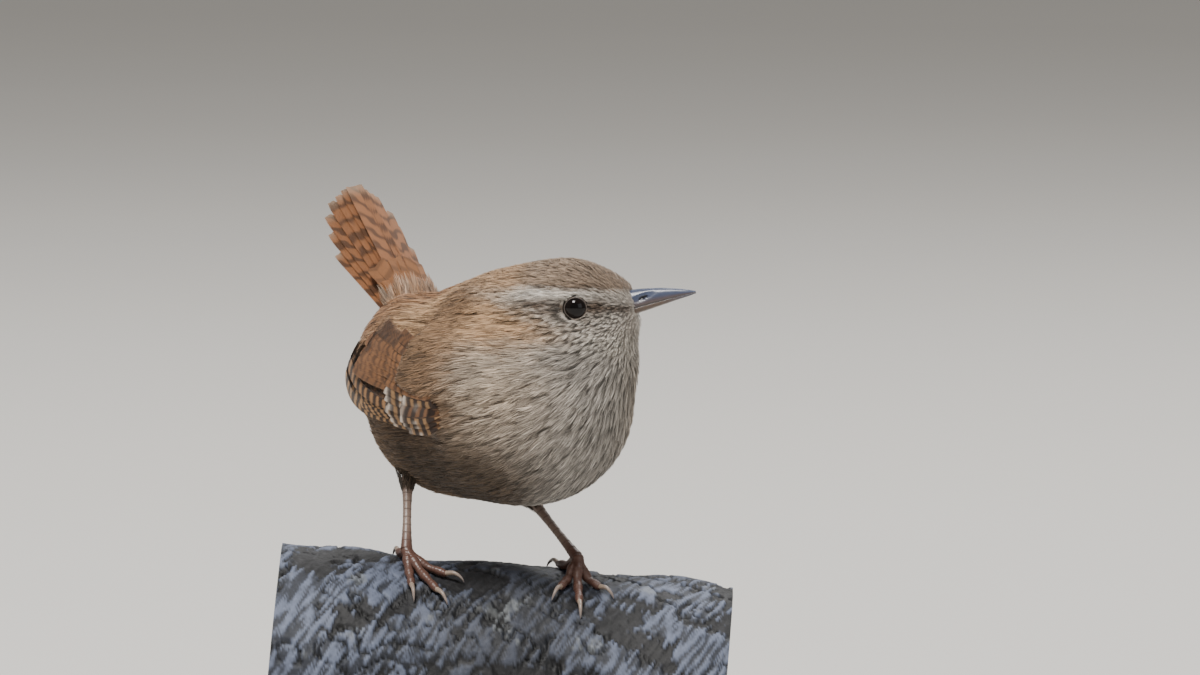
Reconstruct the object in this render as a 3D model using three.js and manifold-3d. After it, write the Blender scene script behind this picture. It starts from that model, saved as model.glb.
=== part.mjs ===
// A Eurasian wren in life size, on a short cut length of branch held by a plain display stand.
// Millimetres and degrees, +Z up. The origin is the middle of the underside of the stand's base.
// The viewer stands on the -Y side, so +X is to the viewer's right.

import * as THREE from "three";
import { mergeVertices } from "three/addons/utils/BufferGeometryUtils.js";
import Module from "manifold-3d";

const wasm = await Module();
wasm.setup();

// Driving dimensions

const GAP = 0.3; // clear space between sub-parts that touch
const GRID = 0.001; // the step that vertices are rounded to

const BASE = { length: 98, width: 74, height: 6, corner: 12, bevel: 0.8 };
const PERCH = { radius: 25, length: 84, axisHeight: 46.6, droop: 5.4, sides: 36, rings: 12 };
const ROD = { radius: 2.5, spread: 18, sunkInBase: 4, sunkInPerch: 7, sides: 20 };

// The body's own frame: its heading is turned from +X towards the viewer.
const BODY = { centre: [1, -2, 102.6], heading: 45 };
const HEAD = { centre: [13.6, -11, 119.9], yaw: 8 };

// The plumage is one smooth form, blended from ellipsoids. Each has a centre and radii along
// forward, right and up, measured in the frame that it names.
const BLEND = 5;
const FORM = [
  { name: "breast", frame: "body", at: [6.5, 0, -0.8], radii: [20, 20, 18.7] },
  { name: "belly", frame: "body", at: [-8.5, 0, -1.2], radii: [19, 18.6, 17.6] },
  { name: "rump", frame: "body", at: [-17, 0, 6.5], radii: [9.5, 10, 9] },
  { name: "mantle", frame: "body", at: [-3.5, 0, 8.6], radii: [14, 13, 13.2] },
  { name: "nape", frame: "body", at: [6, 1, 12.8], radii: [12, 11.5, 11.8] },
  { name: "throat", frame: "head", at: [4.6, 0, -8.6], radii: [8.4, 8.4, 9.6] },
  { name: "skull", frame: "head", at: [0, 0, 0], radii: [10.8, 9.2, 9.2] },
  { name: "lore", frame: "head", at: [8.2, 0, 0.2], radii: [4.6, 4.3, 4.4] },
];

const EYE = { radius: 2.35, opening: 1.95, at: [2.4, 0.6], turn: 10, lid: 0.3 };

// The mouth line rises towards the tip. Depths above and below it and half widths, root to tip.
const BILL = {
  root: [7.8, 0, -1.2],
  rise: 16,
  length: 16.5,
  tipDrop: 0.3,
  stations: [0, 0.28, 0.45, 0.65, 0.82, 0.93, 1],
  upper: [3.7, 3.5, 3.05, 2.3, 1.45, 0.85, 0.3],
  lower: [1.3, 1.15, 1, 0.75, 0.5, 0.35, 0.12],
  half: [2.3, 1.9, 1.5, 1.1, 0.72, 0.46, 0.14],
  nostril: { along: 0.42, length: 1.5, height: 0.5, depth: 1.4, above: 1.5 },
};

// Folded wing, laid out in degrees round the body: turn is counted from straight ahead to the
// rear, and rise from the level of the body's centre. Each tier fans from its first feather to its
// last; width and heights over the skin are in millimetres, and stand is how far the tip leaves it.
const WING = {
  plate: { turn: [66, 112], rise: [-10, 28], low: 0.5, high: 1.5, columns: 6, rows: 6 },
  tiers: [
    { name: "primaries", count: 6, from: [[92, -8], [100, 1]], to: [[151, 11], [157, 22]],
      width: 2.7, height: [0.75, 1.5], stand: 3.6, bow: -6 },
    { name: "secondaries", count: 4, from: [[94, -2], [100, 12]], to: [[145, 20], [150, 28]],
      width: 3.6, height: [1.6, 2.2], stand: 3.2, bow: -4 },
    { name: "tertials", count: 3, from: [[95, 10], [97, 22]], to: [[135, 21], [142, 29]],
      width: 4.4, height: [2.3, 2.9], stand: 2.3, bow: -1 },
    { name: "primary_coverts", count: 3, from: [[78, -9], [82, -4]], to: [[106, -9], [111, -2]],
      width: 2.8, height: [1.6, 2], stand: 0.3, bow: -2 },
    { name: "greater_coverts", count: 5, from: [[82, -3], [86, 20]], to: [[111, 2], [115, 24]],
      width: 4.4, height: [2.2, 3], stand: 0.5, bow: -1 },
    { name: "alula", count: 2, from: [[73, -9], [73, -5]], to: [[92, -11], [95, -7]],
      width: 2.4, height: [1.8, 2.2], stand: 0.3, bow: -1 },
  ],
  roll: 0.5,
  thickness: 0.5,
  rootHeight: 1,
  millimetresPerDegree: 0.38,
};

const TAIL = {
  root: [-17.8, -0.8, 9.5],
  pitch: 53,
  skew: 2,
  rootSpread: 0.3,
  lengths: [34, 33.6, 32.6, 30.6, 27.5, 23],
  spread: 3,
  width: 6.2,
  thickness: 0.5,
  step: 0.36,
  offset: 0.07,
  slope: 0.06,
  core: { length: 12, width: 12.5, depth: 6 },
  upperCoverts: { lengths: [15, 13.5, 11.5], spread: 5, width: 5, level: 0.9, step: 0.21, sink: 1.5 },
  underCoverts: { lengths: [14, 12, 10], spread: 5, width: 5, level: -2.9, step: -0.21, sink: -1 },
};

// Ankles in space, and where each foot stands: millimetres along the perch, and degrees from its
// crest towards the viewer. Toes run in millimetres along and round the perch.
const LEGS = {
  right: { ankle: [-16.2, -2, 86.2], foot: { along: -18.9, round: 17, lift: 3 } },
  left: { ankle: [7.6, 3.4, 82.2], foot: { along: 12.6, round: 13, lift: 4 } },
};
const TARSUS = { radii: [1.15, 0.85, 0.72, 0.72, 0.82, 1.05] }; // ankle to foot
const THIGH = { depth: 9, root: 5, end: 1.75 };
const TOES = {
  right: [
    { name: "outer", end: [1.6, 8] },
    { name: "middle", end: [6.4, 9] },
    { name: "inner", end: [7.8, 3.6] },
    { name: "hind", end: [-1.6, -8] },
  ],
  left: [
    { name: "outer", end: [-2.6, 6.8] },
    { name: "middle", end: [1.2, 10] },
    { name: "inner", end: [4.8, 4.6] },
    { name: "hind", end: [-3.4, -7.4] },
  ],
};
const TOE = { root: 0.85, tip: 0.55, knuckle: 0.16, sides: 7, steps: 9 };
const CLAW = { length: 3.4, hindLength: 4.6, root: 0.5, tip: 0.12, arch: 1.05, sides: 5, steps: 5 };

// Small helpers

const vec = (x, y, z) => new THREE.Vector3(x, y, z);
const UP = vec(0, 0, 1);
const rad = THREE.MathUtils.degToRad;
const mix = THREE.MathUtils.lerp;

// A frame has its origin and three unit vectors: forward, right and up.
function makeFrame(origin, heading) {
  const forward = vec(Math.cos(rad(heading)), -Math.sin(rad(heading)), 0);
  return { origin: vec(...origin), forward, right: forward.clone().cross(UP), up: UP.clone() };
}

function inFrame(frame, [f, r, u]) {
  return frame.origin
    .clone()
    .addScaledVector(frame.forward, f)
    .addScaledVector(frame.right, r)
    .addScaledVector(frame.up, u);
}

// Reads a list of values at t from 0 to 1, with straight lines between them.
function readList(list, t) {
  const place = THREE.MathUtils.clamp(t, 0, 1) * (list.length - 1);
  const low = Math.min(Math.floor(place), list.length - 2);
  return mix(list[low], list[low + 1], place - low);
}

const bodyFrame = makeFrame(BODY.centre, BODY.heading);
const headFrame = makeFrame(HEAD.centre, HEAD.yaw);
const frames = { body: bodyFrame, head: headFrame };

// Solids

function toSolid(geometry) {
  const bare = geometry.index ? geometry.toNonIndexed() : geometry.clone();
  for (const name of Object.keys(bare.attributes)) {
    if (name !== "position") bare.deleteAttribute(name);
  }
  const merged = mergeVertices(bare, 1e-4);
  return new wasm.Manifold(
    new wasm.Mesh({
      numProp: 3,
      vertProperties: merged.attributes.position.array,
      triVerts: new Uint32Array(merged.index.array),
    }),
  );
}

// Keeps the largest closed surface of a solid, which drops scraps and fills sealed hollows.
function largest(solid) {
  const pieces = solid.decompose();
  return pieces.reduce((best, piece) => (piece.volume() > best.volume() ? piece : best));
}

// Rounds every vertex to a fine grid, so that none lie too close together to be told apart.
function settle(solid) {
  const mesh = solid.getMesh();
  const rounded = mesh.vertProperties.map((value) => Math.round(value / GRID) * GRID);
  const geometry = new THREE.BufferGeometry();
  geometry.setAttribute("position", new THREE.BufferAttribute(rounded, 3));
  geometry.setIndex(new THREE.BufferAttribute(mesh.triVerts, 1));
  return largest(toSolid(geometry));
}

function toGeometry(solid) {
  const mesh = settle(largest(solid)).getMesh();
  const geometry = new THREE.BufferGeometry();
  geometry.setAttribute("position", new THREE.BufferAttribute(mesh.vertProperties, 3));
  geometry.setIndex(new THREE.BufferAttribute(mesh.triVerts, 1));
  geometry.computeVertexNormals();
  return geometry;
}

const joined = (solids) => solids.reduce((whole, piece) => whole.add(piece));

// A closed body through rings of points, each ring running anticlockwise seen from the far end.
function loft(rings) {
  const sides = rings[0].length;
  const points = rings.flat();
  const faces = [];
  for (let i = 0; i < rings.length - 1; i++) {
    for (let j = 0; j < sides; j++) {
      const a = i * sides + j;
      const b = i * sides + ((j + 1) % sides);
      faces.push(a, b, b + sides, a, b + sides, a + sides);
    }
  }
  for (const [ring, first] of [[rings[0], true], [rings.at(-1), false]]) {
    const centre = ring.reduce((sum, p) => sum.add(p), vec(0, 0, 0)).divideScalar(sides);
    const hub = points.push(centre) - 1;
    const start = first ? 0 : (rings.length - 1) * sides;
    for (let j = 0; j < sides; j++) {
      const a = start + j;
      const b = start + ((j + 1) % sides);
      faces.push(...(first ? [hub, b, a] : [hub, a, b]));
    }
  }
  const geometry = new THREE.BufferGeometry().setFromPoints(points);
  return toSolid(geometry.setIndex(faces));
}

// A round tube through points, with its radius read from a list or a function of t.
function tube(points, radius, sides, steps) {
  const curve = new THREE.CatmullRomCurve3(points, false, "centripetal");
  const { normals, binormals } = curve.computeFrenetFrames(steps, false);
  const rings = [];
  for (let i = 0; i <= steps; i++) {
    const t = i / steps;
    const centre = curve.getPointAt(t);
    const r = typeof radius === "function" ? radius(t) : readList(radius, t);
    rings.push(
      Array.from({ length: sides }, (_, j) => {
        const angle = (2 * Math.PI * j) / sides;
        return centre
          .clone()
          .addScaledVector(normals[i], r * Math.cos(angle))
          .addScaledVector(binormals[i], r * Math.sin(angle));
      }),
    );
  }
  return loft(rings);
}

// Everything on the side of a plane that its normal points to.
function halfSpace(point, normal) {
  const size = 300;
  const block = new THREE.BoxGeometry(size, size, size).translate(0, 0, size / 2);
  const turn = new THREE.Quaternion().setFromUnitVectors(UP, normal.clone().normalize());
  return toSolid(block.applyQuaternion(turn).translate(point.x, point.y, point.z));
}

function ball(centre, radius, detail) {
  return toSolid(new THREE.IcosahedronGeometry(radius, detail).translate(...centre));
}

// Form of the plumage

const blobs = FORM.map(({ frame, at, radii }) => ({
  centre: inFrame(frames[frame], at),
  frame: frames[frame],
  radii,
}));

function blobDistance({ centre, frame, radii }, point) {
  const offset = point.clone().sub(centre);
  const local = [frame.forward, frame.right, frame.up].map((axis) => offset.dot(axis));
  const near = Math.hypot(...local.map((x, i) => x / radii[i]));
  const slope = Math.hypot(...local.map((x, i) => x / radii[i] ** 2));
  return slope > 1e-9 ? (near * (near - 1)) / slope : -Math.min(...radii);
}

// Distance from the blended form, negative inside.
function formDistance(point) {
  return blobs
    .map((blob) => blobDistance(blob, point))
    .reduce((a, b) => {
      const near = Math.max(BLEND - Math.abs(a - b), 0) / BLEND;
      return Math.min(a, b) - (near * near * BLEND) / 4;
    });
}

// The point on a ray from a centre inside the form where it is a height over the skin.
function cast(centre, direction, height, limit = 60) {
  let low = 0;
  let high = limit;
  const point = vec(0, 0, 0);
  for (let i = 0; i < 26; i++) {
    const middle = (low + high) / 2;
    point.copy(centre).addScaledVector(direction, middle);
    if (formDistance(point) < height) low = middle;
    else high = middle;
  }
  return point.copy(centre).addScaledVector(direction, (low + high) / 2);
}

function castSolid(centre, detail, height, limit) {
  const bare = new THREE.IcosahedronGeometry(1, detail);
  bare.deleteAttribute("normal");
  bare.deleteAttribute("uv");
  const sphere = mergeVertices(bare, 1e-4);
  const position = sphere.attributes.position;
  for (let i = 0; i < position.count; i++) {
    const direction = new THREE.Vector3().fromBufferAttribute(position, i).normalize();
    position.setXYZ(i, ...cast(centre, direction, height, limit));
  }
  return toSolid(sphere);
}

// Head, neck and torso, parted by two thin cuts that slope from the nape to the throat

const CUTS = {
  head: { nape: [-16.3, 0, 4.2], throat: [13.3, 0, -7.5] },
  neck: { nape: [-20, 0, 0], throat: [13, 0, -13.2] },
};

function cutPlane({ nape, throat }) {
  const back = inFrame(headFrame, nape);
  const front = inFrame(headFrame, throat);
  const normal = headFrame.right.clone().negate().cross(front.clone().sub(back)).normalize();
  if (normal.z < 0) normal.negate();
  return { point: back, normal };
}

function above(plane, clearance) {
  return halfSpace(plane.point.clone().addScaledVector(plane.normal, clearance), plane.normal);
}

function below(plane, clearance) {
  const point = plane.point.clone().addScaledVector(plane.normal, -clearance);
  return halfSpace(point, plane.normal.clone().negate());
}

const headPlane = cutPlane(CUTS.head);
const neckPlane = cutPlane(CUTS.neck);
const half = GAP / 2;

const torsoSolid = castSolid(bodyFrame.origin, 8, 0).intersect(below(neckPlane, half));
const neckSolid = castSolid(bodyFrame.origin, 8, 0)
  .intersect(above(neckPlane, half))
  .intersect(below(headPlane, half));
const headShell = castSolid(headFrame.origin, 8, 0, 26).intersect(above(headPlane, half));

// The form a little larger, which trims what grows from it so that it meets the skin face to face.
const trimBody = castSolid(bodyFrame.origin, 8, GAP + 0.05);
const trimHead = castSolid(headFrame.origin, 8, GAP, 26);

// Eyes, with a raised lid ring round each socket

function eyeParts(side) {
  const direction = headFrame.right
    .clone()
    .multiplyScalar(side * Math.cos(rad(EYE.turn)))
    .addScaledVector(headFrame.forward, Math.sin(rad(EYE.turn)));
  const start = inFrame(headFrame, [EYE.at[0] - 8 * Math.sin(rad(EYE.turn)), 0, EYE.at[1]]);
  const surface = cast(start, direction, 0);
  const sunk = Math.sqrt(EYE.radius ** 2 - EYE.opening ** 2);
  const centre = surface.clone().addScaledVector(direction, -sunk);
  const ringRadius = EYE.opening + GAP + EYE.lid / 3;
  const circle = new THREE.Path().absarc(ringRadius, 0, EYE.lid, 0, 2 * Math.PI).getPoints(3);
  const ring = new THREE.LatheGeometry(circle, 14);
  const turn = new THREE.Quaternion().setFromUnitVectors(vec(0, 1, 0), direction);
  return {
    ball: ball(centre, EYE.radius, 2),
    socket: ball(centre, EYE.radius + GAP, 2),
    lid: toSolid(ring.applyQuaternion(turn).translate(...surface)),
  };
}

// Bill: two mandibles that part along the mouth line, with a slit nostril on each side

const billForward = headFrame.forward
  .clone()
  .multiplyScalar(Math.cos(rad(BILL.rise)))
  .addScaledVector(UP, Math.sin(rad(BILL.rise)));
const billFrame = {
  origin: inFrame(headFrame, BILL.root),
  forward: billForward,
  right: headFrame.right,
  up: headFrame.right.clone().cross(billForward),
};

function mandible(depths, sign) {
  const arcPoints = 7;
  const rings = BILL.stations.map((t, i) => {
    const drop = BILL.tipDrop * t ** 4;
    const ring = Array.from({ length: arcPoints }, (_, j) => {
      const angle = (Math.PI * j) / (arcPoints - 1);
      const across = BILL.half[i] * Math.cos(angle);
      const height = GAP / 2 + Math.max(depths[i] - GAP / 2, 0.05) * Math.sin(angle) ** 0.8;
      return inFrame(billFrame, [t * BILL.length, across, sign * height - drop]);
    });
    return sign > 0 ? ring.reverse() : ring;
  });
  return loft(rings);
}

function nostril(side) {
  const { along, length, height, depth, above: lift } = BILL.nostril;
  const slit = new THREE.CapsuleGeometry(height / 2, length - height, 3, 8);
  const middle = readList(BILL.half, along) * 0.98;
  const centre = inFrame(billFrame, [along * BILL.length, side * middle, lift]);
  const turn = new THREE.Quaternion().setFromUnitVectors(vec(0, 1, 0), billFrame.forward);
  return toSolid(slit.scale(1, 1, depth / height).applyQuaternion(turn).translate(...centre));
}

// Feathers

const VARIATION = 0.06; // how far a feather strays from its place in its tier
const VANE_STATIONS = [0, 0.25, 0.55, 0.85, 1];
const VANE_WIDTHS = [0.45, 0.85, 1, 0.8, 0.25];

// A flight feather or covert as one thin vane. place(t, across, height) gives the point at t from
// root to tip. Its left edge is raised and its right edge lowered, so that neighbours shingle.
function vane(place, { width, thickness, roll }) {
  const points = [];
  const faces = [];
  VANE_STATIONS.forEach((t, i) => {
    const reach = (width * VANE_WIDTHS[i]) / 2;
    const skin = thickness / 2;
    for (const [side, face] of [[-1, 1], [1, 1], [1, -1], [-1, -1]]) {
      points.push(place(t, side * reach, (-side * roll) / 2 + face * skin));
    }
  });
  const last = (VANE_STATIONS.length - 1) * 4;
  const quad = (a, b, c, d) => faces.push(a, b, c, a, c, d);
  for (let i = 0; i < last; i += 4) {
    quad(i, i + 1, i + 5, i + 4);
    faces.push(i + 3, i + 6, i + 2, i + 3, i + 7, i + 6);
    quad(i + 1, i + 2, i + 6, i + 5);
    quad(i + 3, i, i + 4, i + 7);
  }
  quad(0, 3, 2, 1);
  quad(last, last + 1, last + 2, last + 3);
  return toSolid(new THREE.BufferGeometry().setFromPoints(points).setIndex(faces));
}

// A seeded value from -1 to 1, which makes each feather a little different.
function vary(seed) {
  const wave = Math.sin(seed * 127.1 + 11.7) * 43758.5453;
  return 2 * (wave - Math.floor(wave)) - 1;
}

// Wings

// The point over the body's side at a turn and rise in degrees and a height over the skin.
function sidePoint(side, turn, rise, height) {
  const direction = bodyFrame.forward
    .clone()
    .multiplyScalar(Math.cos(rad(turn)) * Math.cos(rad(rise)))
    .addScaledVector(bodyFrame.right, side * Math.sin(rad(turn)) * Math.cos(rad(rise)))
    .addScaledVector(UP, Math.sin(rad(rise)));
  return cast(bodyFrame.origin, direction, height);
}

function wingPlate(side) {
  const { turn, rise, low, high, columns, rows } = WING.plate;
  const grid = (height) => {
    const layer = [];
    for (let i = 0; i <= columns; i++) {
      for (let j = 0; j <= rows; j++) {
        const u = (2 * i) / columns - 1;
        const v = (2 * j) / rows - 1;
        const round = { u: u * Math.sqrt(1 - (v * v) / 2.6), v: v * Math.sqrt(1 - (u * u) / 2.6) };
        const rim = Math.max(Math.abs(u), Math.abs(v)) ** 4;
        layer.push(
          sidePoint(
            side,
            mix(turn[0], turn[1], (round.u + 1) / 2),
            mix(rise[0], rise[1], (round.v + 1) / 2),
            mix(height, low + 0.3, height > low ? rim : 0),
          ),
        );
      }
    }
    return layer;
  };
  const points = [...grid(high), ...grid(low)];
  const across = rows + 1;
  const lower = (columns + 1) * across;
  const faces = [];
  const face = (a, b, c) => faces.push(...(side > 0 ? [a, b, c] : [a, c, b]));
  for (let i = 0; i < columns; i++) {
    for (let j = 0; j < rows; j++) {
      const a = i * across + j;
      const [b, c, d] = [a + across, a + across + 1, a + 1];
      face(a, c, b);
      face(a, d, c);
      face(lower + a, lower + b, lower + c);
      face(lower + a, lower + c, lower + d);
    }
  }
  const rimWalk = [];
  for (let i = 0; i < columns; i++) rimWalk.push(i * across);
  for (let j = 0; j < rows; j++) rimWalk.push(columns * across + j);
  for (let i = columns; i > 0; i--) rimWalk.push(i * across + rows);
  for (let j = rows; j > 0; j--) rimWalk.push(j);
  rimWalk.forEach((a, k) => {
    const b = rimWalk[(k + 1) % rimWalk.length];
    face(a, b, lower + b);
    face(a, lower + b, lower + a);
  });
  return toSolid(new THREE.BufferGeometry().setFromPoints(points).setIndex(faces));
}

function wing(side) {
  const feathers = WING.tiers.flatMap((tier) =>
    Array.from({ length: tier.count }, (_, k) => {
      const share = k / (tier.count - 1);
      const between = ([a, b]) => [mix(a[0], b[0], share), mix(a[1], b[1], share)];
      const from = between(tier.from);
      const to = between(tier.to);
      const run = [to[0] - from[0], to[1] - from[1]];
      const degrees = Math.hypot(...run) * WING.millimetresPerDegree;
      const lift = mix(...tier.height, share) + VARIATION * vary(k + tier.width);
      const place = (t, across, height) => {
        const bow = tier.bow * 4 * t * (1 - t);
        const offset = (side * across) / degrees;
        const turn = from[0] + run[0] * t - run[1] * offset;
        const rise = from[1] + run[1] * t + run[0] * offset + bow;
        const rooted = mix(WING.rootHeight, lift, Math.min(1, 4 * t));
        return sidePoint(side, turn, rise, rooted + tier.stand * t ** 2.5 + height);
      };
      return vane(place, {
        width: tier.width,
        thickness: WING.thickness,
        roll: side * WING.roll,
      });
    }),
  );
  return largest(joined([wingPlate(side), ...feathers]));
}

// Tail

const tailLine = bodyFrame.forward
  .clone()
  .multiplyScalar(-Math.cos(rad(TAIL.pitch)))
  .addScaledVector(UP, Math.sin(rad(TAIL.pitch)));
const tailAcross = bodyFrame.right.clone().negate();

// The tail is held a little to the bird's right of its body's line.
const tailFrame = {
  origin: inFrame(bodyFrame, TAIL.root),
  forward: tailLine
    .clone()
    .multiplyScalar(Math.cos(rad(TAIL.skew)))
    .addScaledVector(tailAcross, -Math.sin(rad(TAIL.skew))),
  right: tailAcross
    .clone()
    .multiplyScalar(Math.cos(rad(TAIL.skew)))
    .addScaledVector(tailLine, Math.sin(rad(TAIL.skew))),
  up: tailLine.clone().cross(bodyFrame.right),
};

// Vanes of the tail are flat sheets, each at a level of its own. The two halves of the fan slope
// down a little from the middle.
function tailVane({ length, start = 0, angle, shift, width, level, sink = 0 }) {
  const place = (t, across, rise) => {
    const out = mix(start, length, t);
    const side = shift + Math.sin(rad(angle)) * out + across * Math.cos(rad(angle));
    const along = Math.cos(rad(angle)) * out - across * Math.sin(rad(angle));
    const slope = -TAIL.slope * side * Math.sign(angle);
    return inFrame(tailFrame, [along, side, level + slope + sink * (1 - out / length) + rise]);
  };
  return vane(place, { width, thickness: TAIL.thickness, roll: 0 });
}

function tailSolid() {
  const { core, lengths, spread, rootSpread, step, offset } = TAIL;
  const rings = [0, 0.25, 0.55, 0.85, 1].map((t) => {
    const swell = Math.sqrt(1 - 0.8 * t * t);
    return Array.from({ length: 12 }, (_, j) => {
      const angle = (2 * Math.PI * j) / 12;
      const across = (-core.width / 2) * Math.cos(angle) * mix(1, 0.85, t);
      const rise = (core.depth / 2) * Math.sin(angle) * swell * mix(1, 0.45, t);
      return inFrame(tailFrame, [core.length * t, across, rise]);
    });
  });
  const rectrices = lengths.flatMap((length, k) =>
    [-1, 1].map((side) =>
      tailVane({
        length: length + 0.8 * vary(k + side / 3),
        angle: side * spread * (k + 0.5),
        shift: side * rootSpread * (k + 0.5),
        width: TAIL.width,
        level: -step * k + (side > 0 ? offset : 0),
      }),
    ),
  );
  const coverts = [TAIL.upperCoverts, TAIL.underCoverts].flatMap((tier) =>
    tier.lengths.flatMap((length, k) =>
      [-1, 1].map((side) =>
        tailVane({
          start: 1,
          length: length + 0.6 * vary(k + side / 5),
          angle: side * tier.spread * (k + 0.5),
          shift: side * rootSpread * (k + 0.5),
          width: tier.width,
          level: tier.level - tier.step * k + (side > 0 ? offset : 0),
          sink: tier.sink,
        }),
      ),
    ),
  );
  return largest(joined([loft(rings), ...rectrices, ...coverts]).subtract(trimBody));
}

// Perch

const perchAxis = vec(Math.cos(rad(PERCH.droop)), 0, -Math.sin(rad(PERCH.droop)));
const perchCrest = vec(Math.sin(rad(PERCH.droop)), 0, Math.cos(rad(PERCH.droop)));

// Bark radius, with shallow swellings along and round the branch.
function barkRadius(along, angle) {
  return (
    PERCH.radius +
    0.35 * Math.sin(along * 0.21 + 1.3) +
    0.3 * Math.sin(3 * angle + along * 0.09) +
    0.22 * Math.sin(7 * angle - along * 0.31)
  );
}

// The point over the bark: millimetres along, degrees from the crest to the viewer, and height.
function perchPoint(along, round, height) {
  const angle = rad(round);
  const reach = barkRadius(along, angle) + height;
  return vec(0, 0, PERCH.axisHeight)
    .addScaledVector(perchAxis, along)
    .addScaledVector(perchCrest, reach * Math.cos(angle))
    .addScaledVector(vec(0, -1, 0), reach * Math.sin(angle));
}

function perchSolid() {
  const rings = Array.from({ length: PERCH.rings + 1 }, (_, i) => {
    const along = PERCH.length * (i / PERCH.rings - 0.5);
    return Array.from({ length: PERCH.sides }, (_, j) =>
      perchPoint(along, (360 * j) / PERCH.sides, 0),
    );
  });
  return loft(rings);
}

// Legs and feet

function legParts(name) {
  const side = name === "right" ? 1 : -1;
  const { ankle, foot } = LEGS[name];
  const ankleAt = vec(...ankle);
  const joint = perchPoint(foot.along, foot.round, foot.lift);
  const hip = ankleAt
    .clone()
    .lerp(inFrame(bodyFrame, [-4, side * 8, -6]), THIGH.depth / 15);
  const shin = joint.clone().sub(ankleAt).normalize();
  const thigh = tube(
    [hip, ankleAt.clone().addScaledVector(hip.clone().sub(ankleAt), 0.35), ankleAt],
    [THIGH.root, mix(THIGH.root, THIGH.end, 0.7), THIGH.end],
    10,
    6,
  )
    .subtract(trimBody)
    .intersect(halfSpace(ankleAt, shin.clone().negate()));
  const top = ankleAt.clone().addScaledVector(shin, GAP);
  const shaft = (end, clearance) =>
    tube(
      [top, top.clone().lerp(joint, 0.5), joint.clone().addScaledVector(shin, end)],
      TARSUS.radii.map((radius) => radius + clearance),
      10,
      10,
    );
  return {
    thigh: largest(thigh),
    tarsus: largest(shaft(-GAP, 0).intersect(halfSpace(top, shin))),
    ...footParts(name, joint, shin, shaft(0, GAP)),
  };
}

function footParts(name, joint, shin, tarsusRoom) {
  const { foot } = LEGS[name];
  const perMillimetre = 180 / (Math.PI * PERCH.radius);
  const over = (run, share, height) =>
    perchPoint(
      foot.along + run[0] * share,
      foot.round + run[1] * share * perMillimetre,
      height,
    );
  const start = joint.clone().addScaledVector(shin, 0.4);
  const sole = TARSUS.radii.at(-1);
  const toes = [ball(joint.clone().addScaledVector(shin, sole), sole, 1)];
  const claws = {};
  for (const { name: toe, end } of TOES[name]) {
    const rest = GAP + TOE.tip;
    const path = [
      start,
      over(end, 0.22, mix(foot.lift, rest, 0.45)),
      over(end, 0.5, rest + 0.35),
      over(end, 0.78, rest + 0.15),
      over(end, 1, rest),
    ];
    const radius = (t) =>
      mix(TOE.root, TOE.tip, t) + TOE.knuckle * Math.cos(t * 3.5 * 2 * Math.PI) * (1 - 0.4 * t);
    toes.push(tube(path, radius, TOE.sides, TOE.steps));
    const reach = Math.hypot(...end);
    const length = toe === "hind" ? CLAW.hindLength : CLAW.length;
    const beyond = (distance, height) => over(end, 1 + distance / reach, height);
    claws[toe] = tube(
      [
        beyond(TOE.tip * 0.2 + GAP, rest + 0.1),
        beyond(length * 0.45, rest + CLAW.arch * 0.62),
        beyond(length * 0.8, rest + CLAW.arch * 0.3),
        beyond(length, GAP + CLAW.tip),
      ],
      [CLAW.root, CLAW.root * 0.8, CLAW.root * 0.5, CLAW.tip],
      CLAW.sides,
      CLAW.steps,
    );
  }
  return { foot: largest(joined(toes).subtract(tarsusRoom)), claws };
}

// Stand

function baseSolid() {
  const { length, width, height, corner, bevel } = BASE;
  const [x, y] = [length / 2 - bevel, width / 2 - bevel];
  const shape = new THREE.Shape();
  shape.moveTo(-x + corner, -y);
  shape.lineTo(x - corner, -y);
  shape.absarc(x - corner, -y + corner, corner, -Math.PI / 2, 0);
  shape.lineTo(x, y - corner);
  shape.absarc(x - corner, y - corner, corner, 0, Math.PI / 2);
  shape.lineTo(-x + corner, y);
  shape.absarc(-x + corner, y - corner, corner, Math.PI / 2, Math.PI);
  shape.lineTo(-x, -y + corner);
  shape.absarc(-x + corner, -y + corner, corner, Math.PI, 1.5 * Math.PI);
  const plate = new THREE.ExtrudeGeometry(shape, {
    depth: height - 2 * bevel,
    bevelThickness: bevel,
    bevelSize: bevel,
    bevelSegments: 1,
    curveSegments: 4,
  });
  return toSolid(plate.translate(0, 0, bevel));
}

function rodSolid(x, clearance) {
  const bottom = BASE.height - ROD.sunkInBase - clearance;
  const underside = perchPoint(x / perchAxis.x, 180, 0).z;
  const top = underside + ROD.sunkInPerch + clearance;
  const rod = new THREE.CylinderGeometry(
    ROD.radius + clearance,
    ROD.radius + clearance,
    top - bottom,
    ROD.sides,
  );
  return toSolid(rod.rotateX(Math.PI / 2).translate(x, 0, (top + bottom) / 2));
}

// Scene graph

const materials = {
  brown: new THREE.MeshStandardMaterial({ color: 0x8f7355, roughness: 0.85 }),
  pale: new THREE.MeshStandardMaterial({ color: 0xa89c8c, roughness: 0.9 }),
  rufous: new THREE.MeshStandardMaterial({ color: 0x8a5a34, roughness: 0.8 }),
  horn: new THREE.MeshStandardMaterial({ color: 0x5a5650, roughness: 0.35 }),
  scaled: new THREE.MeshStandardMaterial({ color: 0x6e4a3a, roughness: 0.5 }),
  eye: new THREE.MeshStandardMaterial({ color: 0x0b0a0a, roughness: 0.05 }),
  bark: new THREE.MeshStandardMaterial({ color: 0x3c3b3e, roughness: 0.8 }),
  board: new THREE.MeshStandardMaterial({ color: 0x3a2a20, roughness: 0.5 }),
  steel: new THREE.MeshStandardMaterial({ color: 0x9a9a9a, roughness: 0.3, metalness: 1 }),
};

const wren = new THREE.Group();

function addPart(name, solid, material) {
  const mesh = new THREE.Mesh(toGeometry(solid), materials[material]);
  mesh.name = name;
  wren.add(mesh);
}

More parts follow.
